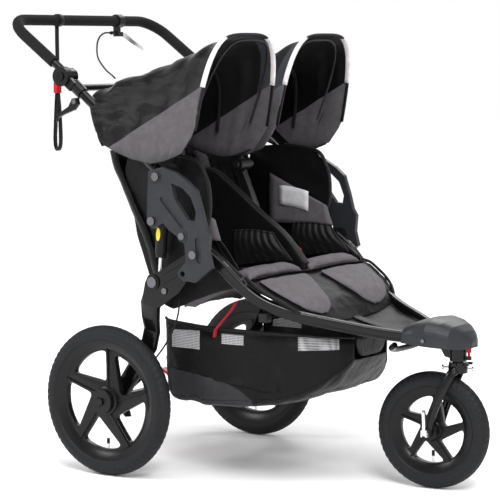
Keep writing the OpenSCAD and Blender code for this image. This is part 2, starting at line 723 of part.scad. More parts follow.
swing_plate = [[14, 616], [-20, 612], [-124, 552], [-158, 540], [-168, 520], [-176, 482], [-164, 462],
    [-126, 458], [-92, 480], [-60, 500], [10, 586]];
leg_points = [[-150, -333, 492], [-163, -330, 460], [-171, -318, 424], [-176, -305, 392], [-188, -303, 350],
    [-226, -301, 296], [-258, -300, 252], [-280, -299, 216]];
leg_widths = [28, 29, 26, 23, 24, 24, 23, 21];
leg_t = 12;
module swing_arm() {
    difference() {
        union() {
            plate(swing_plate, arm_plate_y, arm_plate_y + 9.6);
            bar(frame_pivot, 18, arm_plate_y - 12, arm_plate_y + 12.6);
            bar(shock_foot, 20, arm_plate_y - 3, arm_plate_y + 14);
            // ridges along the arm's outer face
            for (d = [0, -24]) plate([[-24, 596 + d], [-112, 549 + d], [-109, 544 + d], [-21, 591 + d]],
                arm_plate_y + 9, arm_plate_y + 12);
            loft([for (i = [0 : len(leg_points) - 1]) let (p = leg_points[i], w = leg_widths[i],
                t = tangent(leg_points, i), n = unit([-t[2], 0, t[0]]))
                [for (k = [0 : 15]) let (a = 22.5 * k,
                    u = sign(cos(a)) * pow(abs(cos(a)), 0.55), v = sign(sin(a)) * pow(abs(sin(a)), 0.55))
                    p + n * w * u - [0, leg_t * v, 0]]]);
            bar(rear_axle, 24, leg_y - 18, leg_y + 8);
        }
        bar(frame_pivot, bolt_r + run, 300, 360);
        bar(shock_foot, 8, 300, 360);
        bar(rear_axle, 12, 270, leg_y - 6);
        bar(rear_axle, axle_r, leg_y - 8, leg_y + 10);
    }
}
module swing_arm_right() { color(frame_black) swing_arm(); }
module swing_arm_left() { color(frame_black) left_side() swing_arm(); }

// Tube between the legs, with the stub axles that the rear hubs turn on
module rear_axle_tube() {
    color(frame_black) {
        bar(rear_axle, 12, -(leg_y - 6), leg_y - 6);
        both_sides() {
            bar(rear_axle, axle_r, leg_y - 7, 386);
            bar(rear_axle, 9, 380, 387.5);
        }
    }
}

module suspension_pins() {
    color(steel) both_sides() {
        bar(shock_foot, 8, shock_y - 14, arm_plate_y + 15);
        bar(shock_foot, 14, arm_plate_y + 14, arm_plate_y + 18);
        bar([-104, 503], 8, arm_plate_y + 9.6, arm_plate_y + 14);
    }
}

module brake_callipers() {
    color(frame_black) both_sides() {
        plate([[-276, 274], [-244, 278], [-230, 250], [-252, 232], [-272, 240]], leg_y - 26, leg_y - 18);
        plate([[-282, 176], [-262, 170], [-256, 152], [-272, 150], [-288, 166]], leg_y - 12, leg_y - 4);
    }
}

cable_lower = [[-96, -292, 476], [-102, -290, 440], [-116, -288, 404], [-140, -287, 362], [-176, -286, 318],
    [-214, -286, 284], [-236, -286, 268]];
module brake_cable_lower() {
    color(cloth_black) both_sides()
        sweep(smooth(cable_lower, 2), ellipse_section(cable_r, cable_r, 8), [0, 1, 0]);
}

shock_dir = unit([shock_foot[0] - shock_top[0], 0, shock_foot[1] - shock_top[1]]);
shock_len = norm([shock_foot[0] - shock_top[0], shock_foot[1] - shock_top[1]]);
shock_tilt = atan2(shock_foot[0] - shock_top[0], shock_foot[1] - shock_top[1]);
// Places a shape along the shock: its Z runs down from the upper eye
module along_shock() { translate([shock_top[0], -shock_y, shock_top[1]]) rotate([0, shock_tilt, 0]) children(); }
module shock_body() {
    difference() {
        union() {
            bar(shock_top, 14, shock_y - 12, shock_y + 15.5);
            along_shock() translate([0, 0, 12]) cylinder(r = 15.5, h = 76);
            along_shock() translate([0, 0, 86]) cylinder(r = 13, h = 12);
        }
        bar(shock_top, bolt_r + run, shock_y - 20, shock_y + 20);
        along_shock() translate([0, 0, 46]) cylinder(r = 5.5, h = 60);
    }
}
module shock_rod() {
    difference() {
        union() {
            along_shock() translate([0, 0, 74]) cylinder(r = 5.4, h = shock_len - 82);
            bar(shock_foot, 13, shock_y - 10, shock_y + 10);
        }
        bar(shock_foot, 8.6, shock_y - 20, shock_y + 20);
    }
}
module shock_body_right() { color(frame_black) shock_body(); }
module shock_body_left() { color(frame_black) left_side() shock_body(); }
module shock_rod_right() { color(steel) shock_rod(); }
module shock_rod_left() { color(steel) left_side() shock_rod(); }

// ---------- parking brake ----------

module parking_pedal() {
    color(signal_red) difference() {
        union() {
            bar(rear_axle, 18, -40, 40);
            plate([[-290, 216], [-300, 216], [-352, 238], [-366, 236], [-364, 230], [-350, 230], [-300, 204]], -28, 28);
        }
        bar(rear_axle, 12 + run, -60, 60);
    }
}

main_tube_right();
main_tube_left();
front_cross_tube();
seat_cross_tube();
nose_cover();
nose_screws();
head_tube();
seat_base_right();
seat_base_left();
footwell();
basket();
grab_strap();
casting_right();
casting_left();
frame_bolts();
push_tube_right();
push_tube_left();
push_cross_tube();
handle_hubs();
push_frame_screws();
canopy_brackets();
release_lever_right();
release_lever_left();
handle_tube();
foam_grip();
brake_bracket();
wrist_strap();
strap_clip();
brake_cable_upper();
brake_lever();
canopy_right();
canopy_left();
canopy_bows_right();
canopy_bows_left();
swing_arm_right();
swing_arm_left();
rear_axle_tube();
suspension_pins();
brake_callipers();
brake_cable_lower();
shock_body_right();
shock_body_left();
shock_rod_right();
shock_rod_left();
rear_rim_right();
rear_rim_left();
rear_tyre_right();
rear_tyre_left();
rear_hub_right();
rear_hub_left();
front_rim();
front_tyre();
front_hub();
fork();
tracking_screws();
front_axle();
skewer_lever();
swivel_lock_pin();
parking_pedal();
seat_backs();
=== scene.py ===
import math

import bmesh
import bpy
from mathutils import Matrix, Vector
from mathutils import noise as noise_field


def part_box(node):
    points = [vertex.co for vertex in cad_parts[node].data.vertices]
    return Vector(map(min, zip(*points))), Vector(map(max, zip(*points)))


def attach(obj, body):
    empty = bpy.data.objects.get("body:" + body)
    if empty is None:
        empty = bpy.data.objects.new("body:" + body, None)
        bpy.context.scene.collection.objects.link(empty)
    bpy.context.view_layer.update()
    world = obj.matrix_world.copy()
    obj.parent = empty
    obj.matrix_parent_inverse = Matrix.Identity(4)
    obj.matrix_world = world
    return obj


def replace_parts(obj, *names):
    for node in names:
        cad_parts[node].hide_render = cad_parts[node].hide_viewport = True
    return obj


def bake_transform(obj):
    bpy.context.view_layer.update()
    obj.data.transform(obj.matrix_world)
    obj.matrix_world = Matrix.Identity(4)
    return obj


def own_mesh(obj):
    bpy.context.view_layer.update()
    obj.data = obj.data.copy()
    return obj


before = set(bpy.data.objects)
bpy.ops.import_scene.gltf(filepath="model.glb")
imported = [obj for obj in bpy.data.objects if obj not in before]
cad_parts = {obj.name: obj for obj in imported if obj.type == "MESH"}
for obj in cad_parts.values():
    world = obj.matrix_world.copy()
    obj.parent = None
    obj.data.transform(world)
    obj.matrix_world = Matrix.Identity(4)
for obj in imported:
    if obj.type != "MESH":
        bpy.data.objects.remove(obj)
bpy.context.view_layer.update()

scene = bpy.context.scene

# ------------------------------------------------------------------ camera

AZIMUTH = math.radians(34.153)
ELEVATION = math.radians(6.56)
DISTANCE = 5.629
TARGET = Vector((-0.0733, 0.0, 0.5))
LENS = 149.63
SHIFT_Y = 0.0606


def add_object(name, data):
    obj = bpy.data.objects.new(name, data)
    scene.collection.objects.link(obj)
    return obj


def make_camera():
    level = math.cos(ELEVATION)
    back = Vector((math.sin(AZIMUTH) * level, -math.cos(AZIMUTH) * level, math.sin(ELEVATION)))
    data = bpy.data.cameras.new("camera")
    data.lens = LENS
    data.sensor_width = 36.0
    data.shift_y = SHIFT_Y
    cam = add_object("camera", data)
    cam.location = TARGET + back * DISTANCE
    cam.rotation_euler = (-back).to_track_quat("-Z", "Y").to_euler()
    scene.camera = cam


make_camera()

# --------------------------------------------------------------- materials


def shader(name, base, rough=0.5, metal=0.0, coat=0.0, sheen=0.0, specular=0.22):
    """A material with one Principled shader; returns the material, its nodes, links and shader."""
    m = bpy.data.materials.new(name)
    m.use_nodes = True
    nodes, links = m.node_tree.nodes, m.node_tree.links
    s = nodes["Principled BSDF"]
    s.inputs["Base Color"].default_value = (*base, 1.0)
    s.inputs["Roughness"].default_value = rough
    s.inputs["Metallic"].default_value = metal
    s.inputs["Coat Weight"].default_value = coat
    s.inputs["Sheen Weight"].default_value = sheen
    s.inputs["Specular IOR Level"].default_value = specular
    m.diffuse_color = (*base, 1.0)
    return m, nodes, links, s


def coordinates(nodes):
    return nodes.new("ShaderNodeTexCoord").outputs["Object"]


def noise(nodes, links, scale, detail=3.0, stretch=None):
    n = nodes.new("ShaderNodeTexNoise")
    n.inputs["Scale"].default_value = scale
    n.inputs["Detail"].default_value = detail
    where = coordinates(nodes)
    if stretch:
        mapping = nodes.new("ShaderNodeMapping")
        mapping.inputs["Scale"].default_value = stretch
        links.new(where, mapping.inputs["Vector"])
        where = mapping.outputs["Vector"]
    links.new(where, n.inputs["Vector"])
    return n.outputs["Fac"]


def bump(nodes, links, s, height, strength, distance, below=None):
    b = nodes.new("ShaderNodeBump")
    b.inputs["Strength"].default_value = strength
    b.inputs["Distance"].default_value = distance
    links.new(height, b.inputs["Height"])
    if below:
        links.new(below, b.inputs["Normal"])
    links.new(b.outputs["Normal"], s.inputs["Normal"])
    return b.outputs["Normal"]


def vary(nodes, links, s, factor, dark, light):
    """The base colour moves between two colours with a factor."""
    ramp = nodes.new("ShaderNodeValToRGB")
    ramp.color_ramp.elements[0].position = 0.3
    ramp.color_ramp.elements[1].position = 0.7
    ramp.color_ramp.elements[0].color = (*dark, 1.0)
    ramp.color_ramp.elements[1].color = (*light, 1.0)
    links.new(factor, ramp.inputs["Fac"])
    links.new(ramp.outputs["Color"], s.inputs["Base Color"])


def scaled(colour, k):
    return tuple(min(1.0, c * k) for c in colour)


def weave(nodes, links, pitch):
    """A plain weave's height: two crossed sets of waves along all three axes."""
    where = nodes.new("ShaderNodeSeparateXYZ")
    links.new(coordinates(nodes), where.inputs["Vector"])
    waves = []
    for axis in "XYZ":
        mult = nodes.new("ShaderNodeMath")
        mult.operation = "MULTIPLY"
        mult.inputs[1].default_value = math.tau / pitch
        links.new(where.outputs[axis], mult.inputs[0])
        sine = nodes.new("ShaderNodeMath")
        sine.operation = "SINE"
        links.new(mult.outputs[0], sine.inputs[0])
        waves.append(sine.outputs[0])
    first = nodes.new("ShaderNodeMath")
    first.operation = "MULTIPLY"
    links.new(waves[0], first.inputs[0])
    links.new(waves[1], first.inputs[1])
    second = nodes.new("ShaderNodeMath")
    second.operation = "ADD"
    links.new(first.outputs[0], second.inputs[0])
    links.new(waves[2], second.inputs[1])
    return second.outputs[0]


def fabric(name, base, rough, pitch=0.0016, wrinkle=0.5, sheen=0.03, scale=16.0, specular=0.2):
    m, nodes, links, s = shader(name, base, rough, sheen=sheen, specular=specular)
    vary(nodes, links, s, noise(nodes, links, 60.0, 5.0), scaled(base, 0.86), scaled(base, 1.14))
    fine = bump(nodes, links, s, weave(nodes, links, pitch), 0.25, 0.0004)
    bump(nodes, links, s, noise(nodes, links, scale, 3.0), wrinkle, 0.008, fine)
    return m


def moulded(name, base, rough, grain=0.12, coat=0.0):
    m, nodes, links, s = shader(name, base, rough, coat=coat)
    vary(nodes, links, s, noise(nodes, links, 35.0), scaled(base, 0.9), scaled(base, 1.1))
    bump(nodes, links, s, noise(nodes, links, 900.0, 2.0), grain, 0.0004)
    return m


def netting(name, dark, light, pitch):
    """An open mesh: dark threads with pale gaps between them."""
    m, nodes, links, s = shader(name, dark, 0.8, specular=0.1)
    height = weave(nodes, links, pitch)
    vary(nodes, links, s, height, light, dark)
    bump(nodes, links, s, noise(nodes, links, 16.0), 0.4, 0.006)
    return m


def metal(name, base, rough):
    m, nodes, links, s = shader(name, base, rough, metal=1.0)
    bump(nodes, links, s, noise(nodes, links, 700.0, 2.0), 0.05, 0.0003)
    return m


FRAME_BLACK = moulded("frame_black", (0.004, 0.004, 0.0045), 0.22, 0.06, 0.08)
CASTING = moulded("casting_grey", (0.024, 0.025, 0.029), 0.36, 0.25)
MOULDED_BLACK = moulded("moulded_black", (0.006, 0.006, 0.007), 0.35)
RIM_BLACK = moulded("rim_black", (0.005, 0.005, 0.0055), 0.3)
RED = moulded("red_plastic", (0.45, 0.008, 0.015), 0.3)
YELLOW = moulded("yellow_print", (0.78, 0.62, 0.05), 0.45)
STEEL = metal("steel", (0.72, 0.73, 0.75), 0.25)
BOLT_STEEL = metal("bolt_steel", (0.16, 0.16, 0.17), 0.35)
TYRE = moulded("tyre_rubber", (0.009, 0.0095, 0.011), 0.6, 0.4)
FOAM = moulded("foam_rubber", (0.007, 0.007, 0.0075), 0.85, 0.9)
CABLE = moulded("cable_black", (0.006, 0.006, 0.006), 0.4)
NYLON = fabric("black_nylon", (0.003, 0.003, 0.0036), 0.22, wrinkle=0.9, scale=12.0, specular=0.16)
LINING_BLACK = fabric("lining_black", (0.0026, 0.0026, 0.003), 0.6, wrinkle=0.4, scale=14.0)
VISOR_GREY = fabric("visor_grey", (0.026, 0.028, 0.034), 0.6, wrinkle=0.4, scale=14.0)
CLOTH = fabric("black_cloth", (0.0032, 0.0032, 0.0037), 0.42, wrinkle=0.7, scale=20.0, specular=0.14)
MESH = netting("open_mesh", (0.006, 0.006, 0.006), (0.42, 0.42, 0.43), 0.0042)
POCKET = fabric("pocket_mesh", (0.005, 0.005, 0.0055), 0.5, pitch=0.004, wrinkle=0.5, scale=20.0)
GREY = fabric("grey_cloth", (0.105, 0.096, 0.106), 0.7, wrinkle=0.4, scale=18.0)
PETAL_GREY = fabric("petal_grey", (0.085, 0.078, 0.086), 0.6, wrinkle=0.5, scale=16.0)
GREY_DARK = fabric("dark_grey_cloth", (0.022, 0.021, 0.024), 0.45, wrinkle=0.5, scale=20.0, specular=0.2)
PIPING = fabric("reflective_piping", (0.72, 0.68, 0.68), 0.35, wrinkle=0.05)
WEBBING = fabric("black_webbing", (0.005, 0.005, 0.0055), 0.5, pitch=0.003, wrinkle=0.1)
RED_WEBBING = fabric("red_webbing", (0.42, 0.012, 0.03), 0.6, pitch=0.003, wrinkle=0.1)
LABEL = fabric("blank_label", (0.62, 0.62, 0.64), 0.4, wrinkle=0.3)

NODE_MATERIALS = {
    FRAME_BLACK: ["main_tube_right", "main_tube_left", "front_cross_tube", "seat_cross_tube", "head_tube",
                  "push_tube_right", "push_tube_left", "push_cross_tube", "handle_tube", "swing_arm_right",
                  "swing_arm_left", "rear_axle_tube", "fork"],
    CASTING: ["casting_right", "casting_left", "nose_cover"],
    MOULDED_BLACK: ["canopy_bows_right", "canopy_bows_left", "handle_hubs", "canopy_brackets",
                    "release_lever_right", "release_lever_left", "brake_bracket", "brake_callipers",
                    "rear_hub_right", "rear_hub_left", "front_hub", "shock_body_right", "shock_body_left",
                    "front_rim", "rear_rim_right", "rear_rim_left"],
    RED: ["strap_clip", "swivel_lock_pin", "parking_pedal"],
    BOLT_STEEL: ["nose_screws", "frame_bolts", "push_frame_screws", "suspension_pins"],
    STEEL: ["shock_rod_right", "shock_rod_left", "tracking_screws", "front_axle", "skewer_lever",
            "brake_lever"],
    FOAM: ["foam_grip"],
    CABLE: ["brake_cable_upper", "brake_cable_lower"],
    TYRE: ["rear_tyre_right", "rear_tyre_left", "front_tyre"],
    GREY: ["seat_base_right", "seat_base_left"],
    CLOTH: ["seat_backs", "footwell", "basket", "canopy_right", "canopy_left", "wrist_strap"],
    RED_WEBBING: ["grab_strap"],
}


def dress_nodes():
    for material, names in NODE_MATERIALS.items():
        for name in names:
            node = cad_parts[name]
            node.data.materials.clear()
            node.data.materials.append(material)


dress_nodes()

# ----------------------------------------------------------- mesh builders

SIDES = (("right", -1), ("left", 1))
AHEAD = Vector((1.0, 0.0, 0.0))
ACROSS = Vector((0.0, 1.0, 0.0))
UP = Vector((0.0, 0.0, 1.0))


def at(x, y, z):
    """A point given in millimetres."""
    return Vector((x, y, z)) * 0.001


def smooth(mesh):
    mesh.polygons.foreach_set("use_smooth", [True] * len(mesh.polygons))


def make(name, verts, faces, materials):
    mesh = bpy.data.meshes.new(name)
    mesh.from_pydata([tuple(v) for v in verts], [], faces)
    for m in materials:
        mesh.materials.append(m)
    smooth(mesh)
    return add_object(name, mesh)


def settle(obj):
    """Make an object's modifiers part of its mesh."""
    bpy.context.view_layer.update()
    seen = obj.evaluated_get(bpy.context.evaluated_depsgraph_get())
    mesh = bpy.data.meshes.new_from_object(seen)
    obj.modifiers.clear()
    obj.data = mesh
    mesh.name = obj.name


def outward(obj):
    bm = bmesh.new()
    bm.from_mesh(obj.data)
    bmesh.ops.recalc_face_normals(bm, faces=bm.faces)
    bm.to_mesh(obj.data)
    bm.free()


def subdivide(obj, levels=1):
    mod = obj.modifiers.new("smooth", "SUBSURF")
    mod.levels = levels
    mod.render_levels = levels
    settle(obj)


def crease(obj, amount, size, stretch=(1.0, 1.0, 1.0), weight=None):
    """Push a mesh in and out along its normals by millimetres, with folds about size millimetres wide."""
    mesh = obj.data
    moves = []
    for v in mesh.vertices:
        p = v.co * 1000.0 / size
        p = Vector((p.x * stretch[0], p.y * stretch[1], p.z * stretch[2]))
        k = noise_field.noise(p) + 0.5 * noise_field.noise(p * 2.1 + Vector((7.0, 3.0, 1.0)))
        if weight:
            k *= weight(v.co * 1000.0)
        moves.append(v.co + v.normal * (k * amount * 0.001))
    for v, co in zip(mesh.vertices, moves):
        v.co = co
    mesh.update()


def thicken(obj, thick, lining=0, offset=0.0):
    mod = obj.modifiers.new("thickness", "SOLIDIFY")
    mod.thickness = thick * 0.001
    mod.offset = offset
    mod.material_offset = lining
    mod.material_offset_rim = 0
    settle(obj)


def sheet_of(name, rows, materials):
    """A sheet through rows of points."""
    n = len(rows[0])
    verts = [p for row in rows for p in row]
    faces = [(i * n + j, i * n + j + 1, (i + 1) * n + j + 1, (i + 1) * n + j)
             for i in range(len(rows) - 1) for j in range(n - 1)]
    return make(name, verts, faces, materials)


def solid_of(name, rings, materials, closed=False):
    """A closed solid through rings of points; closed joins the last ring to the first."""
    n, m = len(rings[0]), len(rings)
    verts = [p for ring in rings for p in ring]
    last = m if closed else m - 1
    faces = [(i * n + j, i * n + (j + 1) % n, (i + 1) % m * n + (j + 1) % n, (i + 1) % m * n + j)
             for i in range(last) for j in range(n)]
    if not closed:
        faces += [tuple(range(n)), tuple(range((m - 1) * n, m * n))]
    obj = make(name, verts, faces, materials)
    outward(obj)
    return obj


def frames_along(path, side):
    """Each point of a path with the section's two directions there."""
    out = []
    for i, p in enumerate(path):
        t = (path[min(i + 1, len(path) - 1)] - path[max(i - 1, 0)]).normalized()
        u = (side - side.dot(t) * t).normalized()
        out.append((p, u, t.cross(u)))
    return out


def section_solid(name, path, side, section, materials):
    rings = [[p + u * (a * 0.001) + w * (b * 0.001) for a, b in section]
             for p, u, w in frames_along(path, side)]
    return solid_of(name, rings, materials)


def oval(a, b, count=12, power=1.0):
    pts = []
    for k in range(count):
        c, s = math.cos(math.tau * k / count), math.sin(math.tau * k / count)
        pts.append((a * math.copysign(abs(c) ** power, c), b * math.copysign(abs(s) ** power, s)))
    return pts


def tube(name, path, radius, materials, side=ACROSS, count=12):
    return section_solid(name, path, side, oval(radius, radius, count), materials)


def band(name, path, width, thick, materials, side=ACROSS):
    """Flat webbing: its width runs along side."""
    return section_solid(name, path, side, oval(width / 2.0, thick / 2.0, 12, 0.5), materials)


def curve_through(points, steps=8):
    """A smooth path through a few points (Catmull-Rom)."""
    out = []
    n = len(points) - 1
    for i in range(n):
        a, b, c, d = points[max(i - 1, 0)], points[i], points[i + 1], points[min(i + 2, n)]
        for k in range(steps):
            t = k / steps
            out.append(0.5 * (2 * b + (c - a) * t + (2 * a - 5 * b + 4 * c - d) * t * t
                              + (3 * b - a - 3 * c + d) * t ** 3))
    out.append(points[-1])
    return out


def slab(name, outline, near, far, materials, radius=2.0, hollow=()):
    """A plate in the X-Z plane between two values of Y (millimetres), with rounded edges."""
    bm = bmesh.new()
    for loop in (outline, *hollow):
        verts = [bm.verts.new(at(x, near, z)) for x, z in loop]
        for i, v in enumerate(verts):
            bm.edges.new((v, verts[(i + 1) % len(verts)]))
    bmesh.ops.triangle_fill(bm, use_beauty=True, use_dissolve=True, edges=bm.edges)
    mesh = bpy.data.meshes.new(name)
    bm.to_mesh(mesh)
    bm.free()
    for m in materials:
        mesh.materials.append(m)
    obj = add_object(name, mesh)
    mod = obj.modifiers.new("depth", "SOLIDIFY")
    mod.thickness = abs(far - near) * 0.001
    mod.offset = 0.0
    mod.use_even_offset = False
    settle(obj)
    middle = (near + far) * 0.0005
    now = sum(v.co.y for v in obj.data.vertices) / len(obj.data.vertices)
    for v in obj.data.vertices:
        v.co.y += middle - now
    outward(obj)
    if radius:
        mod = obj.modifiers.new("edge", "BEVEL")
        mod.width = radius * 0.001
        mod.segments = 3
        mod.limit_method = "ANGLE"
        mod.angle_limit = math.radians(40.0)
        settle(obj)
    smooth(obj.data)
    by_angle(obj)
    return obj


def by_angle(obj, degrees=40.0):
    """Sharp edges stay sharp in the shading."""
    limit = math.cos(math.radians(degrees))
    bm = bmesh.new()
    bm.from_mesh(obj.data)
    for e in bm.edges:
        if len(e.link_faces) == 2:
            e.smooth = e.link_faces[0].normal.dot(e.link_faces[1].normal) > limit
    bm.to_mesh(obj.data)
    bm.free()


def lathe(name, profile, materials, count=96):
    """Turn a closed profile of (radius, y) in millimetres about the Y axis, at the origin."""
    rings = []
    for k in range(count):
        a = math.tau * k / count
        rings.append([at(r * math.cos(a), y, r * math.sin(a)) for r, y in profile])
    return solid_of(name, rings, materials, closed=True)


def move(obj, matrix):
    obj.data.transform(matrix)
    obj.data.update()
    return obj


def remesh(obj, voxel):
    """Small even faces instead of a form's large ones."""
    mod = obj.modifiers.new("remesh", "REMESH")
    mod.mode = "VOXEL"
    mod.voxel_size = voxel
    settle(obj)


PAD_VOXEL = 0.006
PAD_PRESSURE = 4.0
PAD_FRAMES = 20


def pad_out(obj, cap):
    """Swell a closed form like stuffed cloth, by cloth simulation under pressure, at most cap metres."""
    remesh(obj, PAD_VOXEL)
    before = [v.co.copy() for v in obj.data.vertices]
    mod = obj.modifiers.new("cloth", "CLOTH")
    mod.settings.use_pressure = True
    mod.settings.uniform_pressure_force = PAD_PRESSURE
    mod.settings.effector_weights.gravity = 0.0
    mod.point_cache.frame_start = 1
    mod.point_cache.frame_end = PAD_FRAMES
    for f in range(1, PAD_FRAMES + 1):
        scene.frame_set(f)
    settle(obj)
    for v, was in zip(obj.data.vertices, before):
        shift = v.co - was
        if shift.length > cap:
            v.co = was + shift.normalized() * cap
    scene.frame_set(1)
    smooth(obj.data)
    obj.data.update()
    subdivide(obj)


def belongs(obj, body):
    """Give an object its body."""
    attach(obj, body)
    return obj


# -------------------------------------------------------------- wrist strap

STRAP_X, STRAP_Y = -647.0, -111.0
GRIP = (-643.0, 1201.0)
GRIP_R = 15.0
# The strap's middle line: a hanging strand, then a loop below the clip, as (off the strand, z)
STRAP_LINE = ((0, 1185), (0, 1150), (0.4, 1110), (0.6, 1070), (0.6, 1040), (1.2, 1016), (1.9, 1004),
              (3.5, 984), (6, 960), (9, 910), (10, 870), (7, 848), (0, 840), (-7, 848), (-10, 870),
              (-8, 910), (-5, 960), (-3.2, 984), (-1.9, 1004))
# The section of the band round the grip, as (out from the grip, along it)
STRAP_BAND = ((0.1, -8.0), (2.2, -8.0), (2.7, -6.5), (2.7, 6.5), (2.2, 8.0), (0.1, 8.0))


def make_wrist_strap():
    line = curve_through([at(STRAP_X + x, STRAP_Y, z) for x, z in STRAP_LINE], 3)
    strap = section_solid("wrist_strap_web", line, ACROSS, oval(8.0, 1.4, 16, 0.5), [WEBBING])
    ring = lathe("wrist_strap_band", [(GRIP_R + out, y) for out, y in STRAP_BAND], [WEBBING], 48)
    move(ring, Matrix.Translation(at(GRIP[0], STRAP_Y, GRIP[1])))
    belongs(strap, "handlebar")
    belongs(ring, "handlebar")
    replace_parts(strap, "wrist_strap")
    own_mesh(strap)


make_wrist_strap()

# ------------------------------------------------------------------- wheels

TYRE_R = 25.0                       # a tyre's section
DISC_R = 141.0                      # the rear rim's disc, which the front one is scaled from
WINDOW_STARTS = tuple(91.0 + 72.0 * w for w in range(5))        # degrees round the disc
WINDOW_SPAN = 58.0
FRONT_TURN = math.radians(7.5)      # the front wheel stands turned a little to the left
QUARTERS = (0.0, 0.25, 0.5, 0.75, 1.0)


def rounded(corners, radius, steps=5, only=None):
    """A closed outline with its corners rounded, or only the first few of them."""
    out = []
    n = len(corners)
    for i, p in enumerate(corners):
        if only and i >= only:
            out.append(tuple(p))
            continue
        p = Vector(p)
        a = (Vector(corners[i - 1]) - p).normalized() * radius
        b = (Vector(corners[(i + 1) % n]) - p).normalized() * radius
        for k in range(steps + 1):
            t = k / steps
            out.append(tuple((p + a) * (1 - t) ** 2 + p * 2 * t * (1 - t) + (p + b) * t ** 2))
    return out


def polar(r, degrees):
    a = math.radians(degrees)
    return (r * math.cos(a), r * math.sin(a))


def wheel_disc(name, k):
    """The pinwheel of five spokes that carries a rim; k scales the rear wheel's size."""
    outer = [polar(DISC_R * k, 3.0 * i) for i in range(120)]
    windows = []
    for start in WINDOW_STARTS:
        end = start + WINDOW_SPAN
        corners = [polar(132.0 * k, start - 1.0), polar(50.0 * k, start - 1.0), polar(125.0 * k, end)]
        arc = [polar((127.0 + 5.0 * i / 6.0) * k, end - 59.0 * i / 7.0) for i in range(1, 7)]
        windows.append(rounded(corners + arc, 12.0 * k, 5, 3))
    return slab(name, outer, -9.0, 9.0, [RIM_BLACK], 3.0, windows)


def rim_parts(name, r, k):
    """Barrel, disc, ribs, cups and valve of one wheel about the origin, as one joined piece."""
    edge, bed = r - 33.0, r - 46.0
    half = [(bed, 7), (edge - 7, 15.5), (edge, 19.5), (edge - 2.5, 21), (edge - 9, 19.5),
            (bed - 12, 14), (bed - 18, 9)]
    pieces = [lathe(name, half + [(x, -y) for x, y in reversed(half)], [RIM_BLACK], 120)]
    scale = (bed - 12) / DISC_R
    pieces.append(wheel_disc(name + "_disc", scale))
    for start in WINDOW_STARTS:
        for face in (-1, 1):
            a, b = polar(136.0 * scale, start - 3.5), polar(40.0 * scale, start - 12.0)
            path = [at(a[0] + (b[0] - a[0]) * t, face * (10.5 - 1.5 * t), a[1] + (b[1] - a[1]) * t)
                    for t in QUARTERS]
            pieces.append(section_solid("rib", path, ACROSS, oval(3.5, 3.2, 10, 0.7), [RIM_BLACK]))
    cup = [(40 * k, 7), (38 * k, 13), (33 * k, 16), (24, 17), (22.4, 17), (22.4, 7)]
    for face in (-1, 1):
        pieces.append(lathe("cup", [(x, face * y) for x, y in cup], [RIM_BLACK], 48))
    stem = [at(0, 0, inward - bed) for inward in (16, 26, 46)]
    pieces.append(tube("stem", stem, 3.0, [STEEL]))
    cap = [at(0, 0, inward - bed) for inward in (38, 50, 52)]
    pieces.append(tube("valve_cap", cap, 4.2, [RIM_BLACK]))
    return join(name, pieces)


def join(name, pieces):
    for p in pieces[1:]:
        outward(p)
    with bpy.context.temp_override(active_object=pieces[0], selected_editable_objects=pieces):
        bpy.ops.object.join()
    pieces[0].name = name
    by_angle(pieces[0])
    return pieces[0]


def tread(degrees, i):
    """How far the tread stands out at an angle from the crown, in the i-th slice round the tyre."""
    if 13.0 < degrees < 19.0:
        return -0.9         # groove beside the crown
    if 46.0 < degrees < 52.0:
        return -1.3         # groove round the shoulder
    if 24.0 < degrees < 78.0 and (i + (degrees - 24.0) * 0.055) % 6.0 < 1.6:
        return -1.5         # slanted grooves
    return 0.9 if 112.0 < degrees < 120.0 else 0.0      # ridge by the rim


def tyre_of(name, r, blocks):
    """A tyre with a smooth crown, slanted shoulder grooves and a ridge by the rim."""
    around, across = blocks * 6, 52
    rings = []
    for i in range(around):
        a = math.tau * i / around
        ring = []
        for j in range(across):
            phi = math.tau * (j + 0.5) / across
            off = abs((phi + math.pi) % math.tau - math.pi)
            reach = TYRE_R - 0.1 + tread(math.degrees(off), i)
            x = max(r - 42.0, r - TYRE_R + reach * math.cos(phi))
            ring.append(at(x * math.cos(a), reach * math.sin(phi), x * math.sin(a)))
        rings.append(ring)
    tyre = solid_of(name, rings, [TYRE], closed=True)
    by_angle(tyre, 30.0)
    return tyre


def make_wheel(name, body, k, blocks, steer, flip):
    """Rim and tyre of one wheel, in place of its solids: steer turns both, flip the rim alone."""
    lo, hi = (Vector(c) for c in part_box(name % "tyre"))
    r = (hi.z - lo.z) * 500.0
    place = Matrix.Translation((lo + hi) / 2.0) @ Matrix.Rotation(steer, 4, "Z")
    rim = move(rim_parts(name % "rim_detail", r, k), place @ Matrix.Rotation(flip, 4, "Z"))
    tyre = move(tyre_of(name % "tyre_detail", r, blocks), place)
    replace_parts(belongs(rim, body), name % "rim")
    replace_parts(belongs(tyre, body), name % "tyre")


for label, side in SIDES:
    make_wheel("rear_%s_" + label, "rear_wheel_" + label, 1.0, 66, 0.0, math.pi if side > 0 else 0.0)
make_wheel("front_%s", "front_wheel", 0.72, 52, FRONT_TURN, 0.0)


def make_hub_bolts():
    """A bright bolt head in the outer face of each rear hub."""
    for name, side in SIDES:
        lo, hi = (Vector(c) * 1000.0 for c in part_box("rear_hub_" + name))
        face = lo.y if side < 0 else hi.y
        head = [(0.1, -3.0), (9.0, -3.0), (9.0, 1.0), (7.6, 2.6), (4.0, 2.6), (3.4, 1.0), (0.1, 1.0)]
        bolt = lathe("hub_bolt_" + name, [(r, side * y) for r, y in head], [STEEL], 32)
        move(bolt, Matrix.Translation(at((lo.x + hi.x) / 2.0, face + side * 1.0, (lo.z + hi.z) / 2.0)))
        belongs(bolt, "rear_wheel_" + name)


make_hub_bolts()


